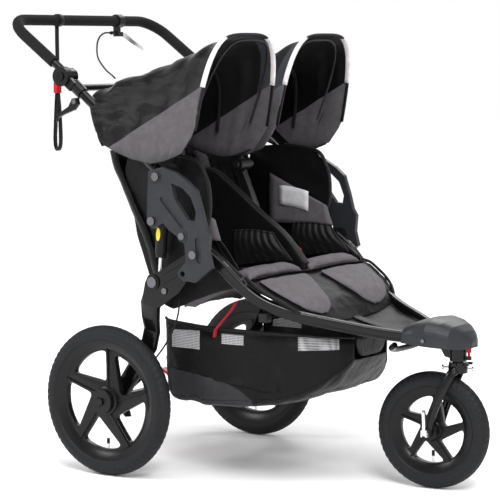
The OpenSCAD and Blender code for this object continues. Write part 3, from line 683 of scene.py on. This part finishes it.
def make_shock_ovals():
    """A plain yellow oval on each shock body."""
    for name, side in SIDES:
        lo, hi = (Vector(c) * 1000.0 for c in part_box("shock_body_" + name))
        middle = Vector(((lo.x + hi.x) / 2.0, 0.0, 0.45 * lo.z + 0.55 * hi.z))
        face = lo.y if side < 0 else hi.y
        outline = [(middle.x + 6.5 * math.cos(a) + math.sin(a), middle.z + 17.0 * math.sin(a))
                   for a in (math.tau * k / 28.0 for k in range(28))]
        edges = sorted((face - side * 3.5, face + side * 0.6))
        oval_plate = slab("shock_oval_" + name, outline, edges[0], edges[1], [YELLOW], 0.4)
        belongs(oval_plate, "shock_body_%s_body" % name)


make_shock_ovals()

# ----------------------------------------------------------------- canopies

# Ribs of a canopy from rear to front: foot and crown, as (x, z) in millimetres
RIBS = (((-298, 866), (-364, 1018)), ((-252, 838), (-296, 1046)), ((-206, 816), (-186, 1076)),
        ((-150, 801), (-84, 1107)), ((-108, 806), (-16, 1138)), ((-82, 826), (46, 1162)))
LAST_RIB = len(RIBS) - 1.0          # places between ribs are counted from the rear one, 0
REAR_BOW = 2.6
VISOR_START = 4.55
VISOR_REACH = 62.0                  # how far the visor's sides come ahead of its last rib
CANOPY_MID = 188.5
CANOPY_HALF = 165.0
ARCH_POWER = 3.8                    # an arch is this square: 2 is an ellipse
PETAL_LINE = ((-285.0, 864.0), (4.0, 1024.0))       # where the side petals meet the top, as (x, z)
NYLON_OUT, PETAL_OUT, VISOR_OUT = 0, 1, 2
LINING = 3                                          # the lining's materials follow the outer ones
CANOPY_CLOTHS = [NYLON, PETAL_GREY, NYLON, LINING_BLACK, PETAL_GREY, VISOR_GREY]
SEAM_STEPS = 14.0


def rib_at(t):
    i = min(int(t), len(RIBS) - 2)
    f = t - i
    (a, b), (c, d) = RIBS[i], RIBS[i + 1]
    foot = Vector((a[0] + (c[0] - a[0]) * f, a[1] + (c[1] - a[1]) * f))
    crown = Vector((b[0] + (d[0] - b[0]) * f, b[1] + (d[1] - b[1]) * f))
    return foot, crown


def canopy_point(t, a, side, inset=0.0):
    """A point on the canopy: t runs along its ribs, a from its inner foot (0) to its outer foot (pi)."""
    foot, crown = rib_at(t)
    k = 2.0 / ARCH_POWER
    c = -math.copysign(abs(math.cos(a)) ** k, math.cos(a))
    h = math.sin(a) ** k
    sag = 5.0 * math.sin(math.pi * (t % 1.0)) ** 2
    reach = (crown - foot).length
    p = foot + (crown - foot) * h * (reach - inset - sag) / reach
    front = max(0.0, t - LAST_RIB + 1.0)
    p.x += VISOR_REACH * front * (1.0 - h) * min(1.0, h / 0.28) ** 0.8
    half = CANOPY_HALF - inset - sag * 0.4
    return at(p.x, side * (CANOPY_MID + half * c), p.y)


def canopy_arch(t, count, margin, side, inset=0.0):
    """Points along one arch from foot to foot, less a margin at each, as parts of the whole."""
    return [canopy_point(t, math.pi * (margin + (1.0 - 2.0 * margin) * j / count), side, inset)
            for j in range(count + 1)]


def canopy_pick(p):
    (x0, z0), (x1, z1) = PETAL_LINE
    below = p.z < z0 + (p.x - x0) * (z1 - z0) / (x1 - x0)
    return PETAL_OUT if below else NYLON_OUT


def cut_along(obj, x0, z0, x1, z1):
    """Split a mesh's faces along a line in the X-Z plane, so that a colour can change there."""
    bm = bmesh.new()
    bm.from_mesh(obj.data)
    normal = Vector((-(z1 - z0), 0.0, x1 - x0)).normalized()
    geom = bm.verts[:] + bm.edges[:] + bm.faces[:]
    bmesh.ops.bisect_plane(bm, geom=geom, plane_co=at(x0, 0, z0), plane_no=normal)
    bm.to_mesh(obj.data)
    bm.free()


def canopy_wrinkles(p):
    rear = max(0.0, min(1.0, (-40.0 - p.x) / 180.0))
    top = max(0.0, min(1.0, (p.z - 850.0) / 60.0))
    return (0.25 + rear) * top


def canopy_cloth(name, side, rows):
    """The canopy's sheet, with side petals, a visor and a lining."""
    cloth = sheet_of("canopy_cloth_" + name, rows, CANOPY_CLOTHS)
    crease(cloth, 5.0, 70.0, (0.5, 1.0, 1.5), canopy_wrinkles)
    crease(cloth, 2.2, 30.0, (0.6, 1.0, 1.6), canopy_wrinkles)
    cut_along(cloth, *PETAL_LINE[0], *PETAL_LINE[1])
    (x0, z0), (x1, z1) = rib_at(VISOR_START)
    cut_along(cloth, x0, z0, x1, z1)
    for face in cloth.data.polygons:
        p = face.center * 1000.0
        ahead = (p.x - x0) * (z1 - z0) - (p.z - z0) * (x1 - x0) > 0
        face.material_index = VISOR_OUT if ahead and canopy_pick(p) == NYLON_OUT else canopy_pick(p)
    thicken(cloth, 2.4, LINING, -1.0 if side > 0 else 1.0)
    smooth(cloth.data)
    return cloth


def canopy_trim(name, side):
    """Bindings, hems, reflective piping on the visor's sides and a seam across each petal."""
    trim = []
    ahead = Vector((1.0, 0.0, 0.15)).normalized()
    for label, rib, width, thick in (("front", LAST_RIB, 9.0, 5.0), ("rear", 0.0, 7.0, 4.0)):
        edge = canopy_arch(rib, 72, 0.0, side)[2:-2]
        trim.append(band("canopy_%s_binding_%s" % (label, name), edge, width, thick, [WEBBING], ahead))
    for label, foot in (("outer", 0.996), ("inner", 0.004)):
        edge = [canopy_point(LAST_RIB * i / 30.0, math.pi * foot, side) for i in range(1, 30)]
        trim.append(tube("canopy_%s_hem_%s" % (label, name), edge, 2.2, [WEBBING], UP, 8))
    for label, lo, hi in (("outer", 0.61, 0.875), ("inner", 0.125, 0.39)):
        path = [canopy_point(4.97, math.pi * (lo + (hi - lo) * i / 16.0), side, -0.6) for i in range(17)]
        trim.append(band("canopy_piping_%s_%s" % (label, name), path, 14.0, 6.6, [PIPING], ahead))
    for label in ("outer", "inner"):
        seam = []
        for i in range(15):
            t = 4.15 - 0.9 * (i / SEAM_STEPS) ** 1.6
            a = math.asin((0.46 - 0.42 * i / SEAM_STEPS) ** (ARCH_POWER / 2.0))
            seam.append(canopy_point(t, math.pi - a if label == "outer" else a, side, -1.0))
        trim.append(tube("canopy_seam_%s_%s" % (label, name), seam, 0.9, [WEBBING], count=6))
    return trim


def canopy_back(name, side):
    """The panel that closes the canopy's back, down to its feet."""
    arch = canopy_arch(0.04, 30, 0.03, side, 3.0)
    foot = rib_at(0.0)[0]
    rows = []
    for i in range(13):
        v = i / 12.0
        bulge = AHEAD * (0.006 * math.sin(math.pi * v))
        rows.append([p.lerp(at(foot.x - 4.0, p.y * 1000.0, foot.y + 4.0), 0.98 * v) - bulge for p in arch])
    back = sheet_of("canopy_back_panel_" + name, rows, [NYLON])
    crease(back, 3.0, 60.0)
    thicken(back, 2.0)
    return back


def make_canopy(name, side):
    steps = 60
    rows = [canopy_arch(LAST_RIB * i / steps, 72, 0.004, side) for i in range(steps + 1)]
    cloth = canopy_cloth(name, side, rows)
    bow = canopy_arch(REAR_BOW, 48, 0.04, side, 9.0)
    others = [*canopy_trim(name, side), canopy_back(name, side),
              tube("canopy_rear_bow_" + name, bow, 4.5, [LINING_BLACK], AHEAD, 10)]
    for obj in (cloth, *others):
        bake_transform(obj)
    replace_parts(cloth, "canopy_" + name)


for label, side in SIDES:
    make_canopy(label, side)

# -------------------------------------------------------------------- seats


def soft_seat(obj):
    """A seat piece on the main frame, with a mesh of its own."""
    belongs(obj, "main_frame")
    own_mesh(obj)
    return obj


CUSHION_TOP = ((-112, 470), (-60, 500), (0, 526), (50, 546), (88, 557), (108, 554), (120, 541))
CUSHION_THICK = 22.0


def make_cushions():
    for name, side in SIDES:
        rows = []
        for x, z in CUSHION_TOP:
            row = []
            for j in range(9):
                t = j / 8.0
                dish = 8.0 - 14.0 * (2 * t - 1) ** 4
                row.append(at(x, side * (18 + 254 * t), z - 4 + dish))
            rows.append(row)
        pad = sheet_of("seat_cushion_" + name, rows, [GREY])
        thicken(pad, CUSHION_THICK, 0, -1.0 if side < 0 else 1.0)
        outward(pad)
        pad_out(pad, 0.008)
        crease(pad, 1.6, 42.0)
        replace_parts(soft_seat(pad), "seat_base_" + name)
        for j, x in enumerate((-40.0, 34.0)):
            z = 497.0 + (x + 40.0) * 0.42
            seam = [at(x, side * (26 + 238 * t / 10.0), z + 17.0 - 8.0 * (0.2 * t - 1) ** 4)
                    for t in range(11)]
            soft_seat(tube("cushion_seam_%d_%s" % (j, name), seam, 1.1, [GREY_DARK], AHEAD, 6))


# The front apron from the seat's edge down to the footwell: x, z and half width
APRON = ((106, 541, 284), (128, 534, 293), (156, 516, 291), (188, 497, 279), (216, 478, 260), (238, 456, 236),
         (250, 440, 211), (262, 424, 202))


def apron_at(v):
    i = min(int(v), len(APRON) - 2)
    f = v - i
    return [APRON[i][k] + (APRON[i + 1][k] - APRON[i][k]) * f for k in range(3)]


def make_apron():
    rows = []
    for i in range(29):
        x, z, half = apron_at(i * (len(APRON) - 1) / 28.0)
        rows.append([at(x, half * (j / 20.0 - 1.0), z - 5.0 * math.cos(math.pi * (j / 20.0 - 1.0)) ** 2)
                     for j in range(41)])
    apron = sheet_of("front_apron", rows, [CLOTH])
    crease(apron, 2.2, 45.0)
    thicken(apron, 3.0)
    soft_seat(apron)
    # grey leg rests sewn on the apron, narrower towards the footwell
    for name, side in SIDES:
        rows = []
        for i in range(15):
            v = i / 14.0
            x, z, half = apron_at(0.95 + v * 4.75)
            inner = 34.0 + 62.0 * v ** 1.25
            outer = half - 34.0 - 58.0 * max(0.0, v - 0.62) ** 1.2
            corner = 26.0 * max(0.0, v - 0.8) / 0.2
            inner, outer = inner + corner, outer - corner
            lift = 3.2 + 4.0 * math.sin(math.pi * v)
            rows.append([at(x + 0.55 * lift, side * (inner + (outer - inner) * j / 12.0),
                            z + lift * (0.35 + 0.65 * math.sin(math.pi * j / 12.0))) for j in range(13)])
        pad = sheet_of("leg_rest_" + name, rows, [GREY])
        thicken(pad, 7.0)
        outward(pad)
        subdivide(pad, 2)
        crease(pad, 2.0, 55.0)
        soft_seat(pad)
    # black band across the front of both seats, and the binding beside each main tube
    front = [at(114, y, 541 - 4 * math.cos(y / 275.0 * math.pi) ** 2) for y in range(-276, 277, 46)]
    soft_seat(band("seat_front_band", curve_through(front, 4), 22.0, 3.0, [CLOTH], Vector((0.8, 0.0, 0.45))))
    for name, side in SIDES:
        edge = curve_through([at(x, side * (half + 2), z + 3) for x, z, half in APRON], 4)
        soft_seat(tube("apron_binding_" + name, edge, 4.0, [WEBBING], UP, 10))


# Side wall with its wing, and divider, as (x, z)
WALL = ((-186, 504), (-235, 640), (-262, 748), (-274, 800), (-262, 848), (-150, 854), (-46, 840),
        (-14, 800), (-2, 760), (-2, 700), (-20, 650), (-18, 628), (40, 588), (96, 548), (100, 526),
        (20, 502), (-60, 472), (-118, 448), (-148, 458))
DIVIDER = ((-186, 504), (-235, 640), (-264, 748), (-228, 800), (-185, 792), (-134, 758), (-35, 684),
           (43, 628), (108, 556), (100, 526), (20, 502), (-60, 472), (-118, 448), (-148, 458))
WALL_Y = 290.0
WALL_VOXEL = 0.0026
WING_EDGE = slice(5, 14)        # the part of the wall's outline that carries a binding
DIVIDER_EDGE = slice(3, 9)


def fabric_wall(name, outline, y, thick, amount, material):
    wall = slab(name, rounded(outline, 9.0, 3), y - thick / 2.0, y + thick / 2.0, [material], 0.0)
    remesh(wall, WALL_VOXEL)
    smooth(wall.data)
    crease(wall, amount, 70.0, (1.0, 1.0, 0.6))
    return soft_seat(wall)


def make_walls():
    for name, side in SIDES:
        fabric_wall("seat_side_" + name, WALL, side * WALL_Y, 5.0, 3.0, CLOTH)
        fabric_wall("seat_divider_" + name, DIVIDER, side * 7.5, 10.0, 2.0, CLOTH)
        edge = [at(x, side * WALL_Y, z) for x, z in WALL[WING_EDGE]]
        soft_seat(band("wing_binding_" + name, curve_through(edge, 5), 12.0, 8.0, [WEBBING]))
    edge = [at(x, 0, z) for x, z in DIVIDER[DIVIDER_EDGE]]
    soft_seat(band("divider_binding", curve_through(edge, 6), 27.0, 7.0, [WEBBING]))


def make_pockets():
    """Gathered pockets on the inside of each side wall and of the divider."""
    for name, side in SIDES:
        for label, y, inward in (("outer", side * 272.0, -side), ("inner", side * 16.0, side)):
            rows = []
            for i in range(13):
                v = i / 12.0
                row = []
                for j in range(41):
                    u = j / 40.0
                    x = -112.0 + (130.0 + 60.0 * v) * u
                    z = 634.0 - v * (96.0 - 24.0 * u) + 5.0 * math.sin(math.pi * u)
                    fold = 3.2 * math.sin(u * 44.0 + 1.3 * math.sin(5.0 * v)) * (0.35 + 0.65 * (1 - v))
                    belly = 16.0 * math.sin(math.pi * min(1.0, 0.12 + v)) * math.sin(math.pi * u) ** 0.6
                    row.append(at(x, y + inward * (4.0 + belly + fold), z))
                rows.append(row)
            pocket = sheet_of("pocket_%s_%s" % (label, name), rows, [POCKET])
            thicken(pocket, 2.0)
            soft_seat(pocket)
            hem = tube("pocket_hem_%s_%s" % (label, name), rows[0], 3.0, [WEBBING], count=8)
            soft_seat(hem)


# Seat back, in the X-Z plane: from the seat's hinge up to its top edge
BACK_FOOT = (-128.0, 474.0)
BACK_TOP = (-296.0, 862.0)


def back_point(v, y, out):
    """A point on the seat back: v from foot to top, out millimetres in front of its face."""
    dx, dz = BACK_TOP[0] - BACK_FOOT[0], BACK_TOP[1] - BACK_FOOT[1]
    n = math.hypot(dx, dz)
    return at(BACK_FOOT[0] + dx * v + out * dz / n, y, BACK_FOOT[1] + dz * v - out * dx / n)


def back_panel(name, v0, v1, y0, y1, out, thick, material, side, swell=0.008):
    rows = []
    for i in range(13):
        v = v0 + (v1 - v0) * i / 12.0
        rows.append([back_point(v, side * (y0 + (y1 - y0) * j / 8.0), out) for j in range(9)])
    pad = sheet_of(name, rows, [material])
    thicken(pad, thick)
    outward(pad)
    pad_out(pad, swell)
    crease(pad, 1.6, 40.0)
    belongs(pad, "seat_back_body")


def make_backs():
    for name, side in SIDES:
        back_panel("back_cushion_" + name, 0.05, 0.97, 38, 262, -1.0, 16.0, GREY, side)
        back_panel("back_centre_" + name, 0.10, 0.93, 104, 196, 9.0, 9.0, CLOTH, side, 0.005)
        back_panel("head_pad_" + name, 0.74, 0.95, 60, 240, 9.0, 9.0, CLOTH, side, 0.006)
        for k, y in enumerate((118.0, 182.0)):
            path = [back_point(v, side * y, 18.0 + 3.0 * math.sin(math.pi * (v - 0.35) / 0.5))
                    for v in (0.36, 0.46, 0.56, 0.66, 0.76, 0.82)]
            strap = section_solid("shoulder_pad_%d_%s" % (k, name), curve_through(path, 5), ACROSS,
                                  oval(20.0, 4.5, 14, 0.6), [CLOTH])
            belongs(strap, "seat_back_body")
            path = [back_point(v, side * (150 + (y - 150) * (0.55 + 0.5 * v)), 17.0)
                    for v in (0.16, 0.24, 0.32, 0.4)]
            web = band("shoulder_web_%d_%s" % (k, name), curve_through(path, 4), 22.0, 2.2, [WEBBING])
            belongs(web, "seat_back_body")
        make_back_cover(name, side)


# Back cover seen from behind and from the side, as (x, z)
COVER = ((-176, 470), (-196, 536), (-232, 639), (-278, 717), (-322, 800), (-338, 857))


def make_back_cover(name, side):
    spine = curve_through([at(x, 0, z) for x, z in COVER], 5)
    rows = []
    for p in spine:
        row = []
        for j in range(33):
            a = math.pi * j / 32.0
            y = 157.0 - 142.0 * math.copysign(abs(math.cos(a)) ** 0.45, math.cos(a))
            wrap = 46.0 * (1.0 - math.sin(a) ** 0.5)
            row.append(p + at(wrap + 5.0 * math.sin(a), side * y, 0.0))
        rows.append(row)
    cover = sheet_of("back_cover_" + name, rows, [NYLON])
    crease(cover, 5.0, 85.0, (1.0, 1.2, 0.7))
    thicken(cover, 2.4)
    belongs(cover, "seat_back_body")
    if side < 0:
        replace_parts(cover, "seat_backs")


def make_harness():
    """Crotch strap, buckle and lap straps of each seat."""
    for name, side in SIDES:
        mid = side * 150.0
        back, down = (44.0, 26.0) if side < 0 else (0.0, -4.0)
        path = [at(30, mid, 520), at(22, mid, 538), at(4, mid, 552), at(-14 - back, mid, 556 - down)]
        soft_seat(band("crotch_strap_" + name, curve_through(path, 4), 26.0, 2.4, [WEBBING]))
        for k, out in enumerate((-1, 1)):
            path = [at(-16 - back, mid + out * 12, 556 - down),
                    at(-50 - back * 0.5, mid + out * 50, 546 - down * 0.6),
                    at(-96, mid + out * 92, 520), at(-122, mid + out * 104, 494)]
            soft_seat(band("lap_strap_%d_%s" % (k, name), curve_through(path, 4), 22.0, 2.2, [WEBBING],
                           Vector((0.0, 0.2, 1.0))))
        corners = ((-44, 545), (-16, 545), (-12, 573), (-30, 582), (-48, 573))
        outline = rounded([(x - back, z - down) for x, z in corners], 6.0, 4)
        soft_seat(slab("buckle_" + name, outline, mid - 17, mid + 17, [MOULDED_BLACK], 3.0))
        knob = [(0.1, -4), (9, -4), (11, -1), (10, 3), (4, 5), (0.1, 5)]
        button = lathe("buckle_button_" + name, knob, [RED], 32)
        lean = Matrix.Rotation(math.radians(75), 4, "Z")
        move(button, Matrix.Translation(at(-14 - back, mid, 566 - down)) @ lean)
        soft_seat(button)


def make_linings():
    """A grey lining on the inside of each side wall, with a blank care label on it."""
    for name, side in SIDES:
        rows = [[at(-156 + 98 * i / 6.0, side * 268.0, 684 + 56 * j / 4.0 - 14 * (i / 6.0) ** 2)
                 for j in range(5)] for i in range(7)]
        label = sheet_of("blank_label_" + name, rows, [LABEL])
        thicken(label, 1.2)
        soft_seat(label)
        rows = [[at(-190 + (212 - 20 * v) * u, side * 271.0, 634 + (140 - 86 * u) * v)
                 for v in (j / 8.0 for j in range(9))] for u in (i / 10.0 for i in range(11))]
        panel = sheet_of("side_lining_" + name, rows, [GREY])
        crease(panel, 2.5, 50.0)
        thicken(panel, 2.0)
        soft_seat(panel)


make_cushions()
make_apron()
make_walls()
make_pockets()
make_backs()
make_harness()
make_linings()

# ------------------------------------------------------- basket and footwell

# Basket stations: x, half width, top, bottom
BASKET = ((-184, 232, 416, 308), (-166, 240, 411, 208), (-100, 244, 406, 198), (-20, 245, 402, 196),
          (110, 236, 400, 206), (180, 218, 398, 222), (230, 188, 394, 243), (276, 138, 388, 284),
          (308, 84, 384, 330))
# Windows of open mesh in each side: from x, to x, lower edge
BASKET_WINDOWS = ((-158.0, -64.0, 342.0), (4.0, 70.0, 362.0), (212.0, 286.0, 356.0))
WINDOW_TOP = 390.0


def basket_row(s, count=48):
    x, half, top, low = s
    row = [at(x, -half - 1.0, top)]
    for k in range(count + 1):
        a = math.pi + math.pi * k / count
        y = (half - 1.0) * math.copysign(abs(math.cos(a)) ** 0.35, math.cos(a))
        z = low - 6.0 + (top - low) * 0.14 * (1.0 - abs(math.sin(a)) ** 0.5)
        row.append(at(x, y, z))
    row.append(at(x, half + 1.0, top))
    return row


def blend_stations(stations, steps):
    """Smoothly more stations between the given ones."""
    return [tuple(p) for p in curve_through([Vector(s) for s in stations], steps)]


def grey_top(x):
    """The height of the grey panel that runs low along each side."""
    return 286.0 - (x + 176.0) * 0.12 - 26.0 * max(0.0, (x + 20.0) / 100.0) ** 2


def basket_pick(p):
    """Black cloth (0), the grey panel (1) and open mesh under the rim (2)."""
    if abs(p.y) < 90.0:
        return 0
    if any(a < p.x < b and low < p.z < WINDOW_TOP for a, b, low in BASKET_WINDOWS):
        return 2
    return 1 if p.z < grey_top(p.x) and p.x < 96.0 else 0


def below_rim(p):
    """Creases fade out towards the basket's rim."""
    return min(1.0, max(0.0, (404.0 - p.z) / 60.0))


def basket_shell(rows):
    shell = sheet_of("basket_cloth", rows, [CLOTH, GREY_DARK, MESH])
    for a, b, low in BASKET_WINDOWS:
        for x in (a, b):
            cut_along(shell, x, 0.0, x, 1.0)
        for z in (low, WINDOW_TOP):
            cut_along(shell, 0.0, z, 1.0, z)
    for x in range(-184, 96, 35):
        cut_along(shell, x, grey_top(x), x + 35.0, grey_top(x + 35.0))
    for face in shell.data.polygons:
        face.material_index = basket_pick(face.center * 1000.0)
    crease(shell, 5.0, 80.0, (1.0, 1.0, 0.7), below_rim)
    crease(shell, 1.8, 28.0, (1.0, 1.0, 0.7), below_rim)
    thicken(shell, 2.2)
    return shell


def basket_ends():
    """Rear and front panels; the rear one droops, so that things can be reached from behind."""
    rows = []
    for v in QUARTERS:
        row = []
        for y in range(-230, 231, 23):
            top = 326.0 + 88.0 * abs(y / 230.0) ** 5
            low = 308.0 + 36.0 * abs(y / 236.0) ** 6
            row.append(at(-184, y, top + (low - top) * v))
        rows.append(row)
    rear = sheet_of("basket_rear_panel", rows, [CLOTH])
    crease(rear, 4.0, 60.0)
    rows = [[at(308, y, 384 - 54 * v * (1 - (y / 80.0) ** 6)) for y in range(-76, 77, 8)] for v in QUARTERS]
    nose = sheet_of("basket_front_panel", rows, [CLOTH])
    for panel in (rear, nose):
        thicken(panel, 2.2)
    return [rear, nose]


def make_basket():
    stations = blend_stations(BASKET, 7)
    rows = [curve_through(basket_row(s), 2) for s in stations]
    shell = basket_shell(rows)
    others = basket_ends()
    for name, side in SIDES:
        rim = [at(x, side * (half + 1.0), top) for x, half, top, low in stations]
        others.append(tube("basket_rim_" + name, rim, 4.0, [WEBBING], UP, 10))
    for obj in (shell, *others):
        belongs(obj, "main_frame")
        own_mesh(obj)
    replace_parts(shell, "basket")


FOOTWELL = ((256, 200, 423), (300, 166, 412), (350, 136, 402), (400, 104, 395), (452, 66, 391))


def make_footwell():
    rows = []
    for x, half, z in blend_stations(FOOTWELL, 6):
        rows.append([at(x, half * c / 10.0, z - 3.0 + 15.0 * (c / 10.0) ** 2) for c in range(-10, 11)])
    sling = sheet_of("footwell_cloth", rows, [CLOTH])
    crease(sling, 2.5, 45.0)
    thicken(sling, 3.0)
    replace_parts(belongs(sling, "main_frame"), "footwell")
    path = [at(x, 0, z + 3) for x, z in ((262, 424), (300, 413), (350, 403), (400, 396), (446, 393))]
    belongs(band("footwell_strap", curve_through(path, 4), 36.0, 3.0, [WEBBING]), "main_frame")


make_basket()
make_footwell()

# ------------------------------------------------------------------- stage


DOME_TOP = 0.28


def light_dome(nodes, links):
    """A studio's light: white round the horizon and below it, dimmer overhead."""
    where = nodes.new("ShaderNodeTexCoord").outputs["Generated"]
    split = nodes.new("ShaderNodeSeparateXYZ")
    links.new(where, split.inputs["Vector"])
    ramp = nodes.new("ShaderNodeValToRGB")
    ramp.color_ramp.elements[0].position = 0.14
    ramp.color_ramp.elements[0].color = (1.0, 1.0, 1.0, 1.0)
    ramp.color_ramp.elements[1].position = 0.45
    ramp.color_ramp.elements[1].color = (DOME_TOP, DOME_TOP, DOME_TOP, 1.0)
    links.new(split.outputs["Z"], ramp.inputs["Fac"])
    links.new(ramp.outputs["Color"], nodes["Background"].inputs["Color"])
    nodes["Background"].inputs["Strength"].default_value = 1.0


def make_stage():
    bpy.ops.mesh.primitive_plane_add(size=40.0, location=(0.0, 0.0, 0.0))
    floor = bpy.context.object
    floor.name = "floor"
    m, nodes, links, s = shader("floor", (1.0, 1.0, 1.0), 1.0, specular=0.0)
    floor.data.materials.append(m)
    world = bpy.data.worlds.new("studio")
    scene.world = world
    world.use_nodes = True
    light_dome(world.node_tree.nodes, world.node_tree.links)
    sun = bpy.data.lights.new("sun", "SUN")
    sun.energy = 2.3
    sun.angle = math.radians(50.0)
    lamp = add_object("sun", sun)
    lamp.rotation_euler = Vector((0.25, -0.25, 1.0)).to_track_quat("Z", "Y").to_euler()
    for name, place, size, power in (
        ("key", (3.4, -3.6, 4.2), 1.8, 190.0),
        ("fill", (-3.4, -3.0, 3.2), 1.6, 90.0),
        ("back", (-1.0, 3.8, 3.6), 2.6, 90.0),
    ):
        light = bpy.data.lights.new(name, "AREA")
        light.energy = power
        light.size = size
        lamp = add_object(name, light)
        lamp.location = place
        lamp.rotation_euler = (Vector((0.0, 0.0, 0.55)) - lamp.location).to_track_quat("-Z", "Y").to_euler()


make_stage()
scene.view_settings.view_transform = "Standard"
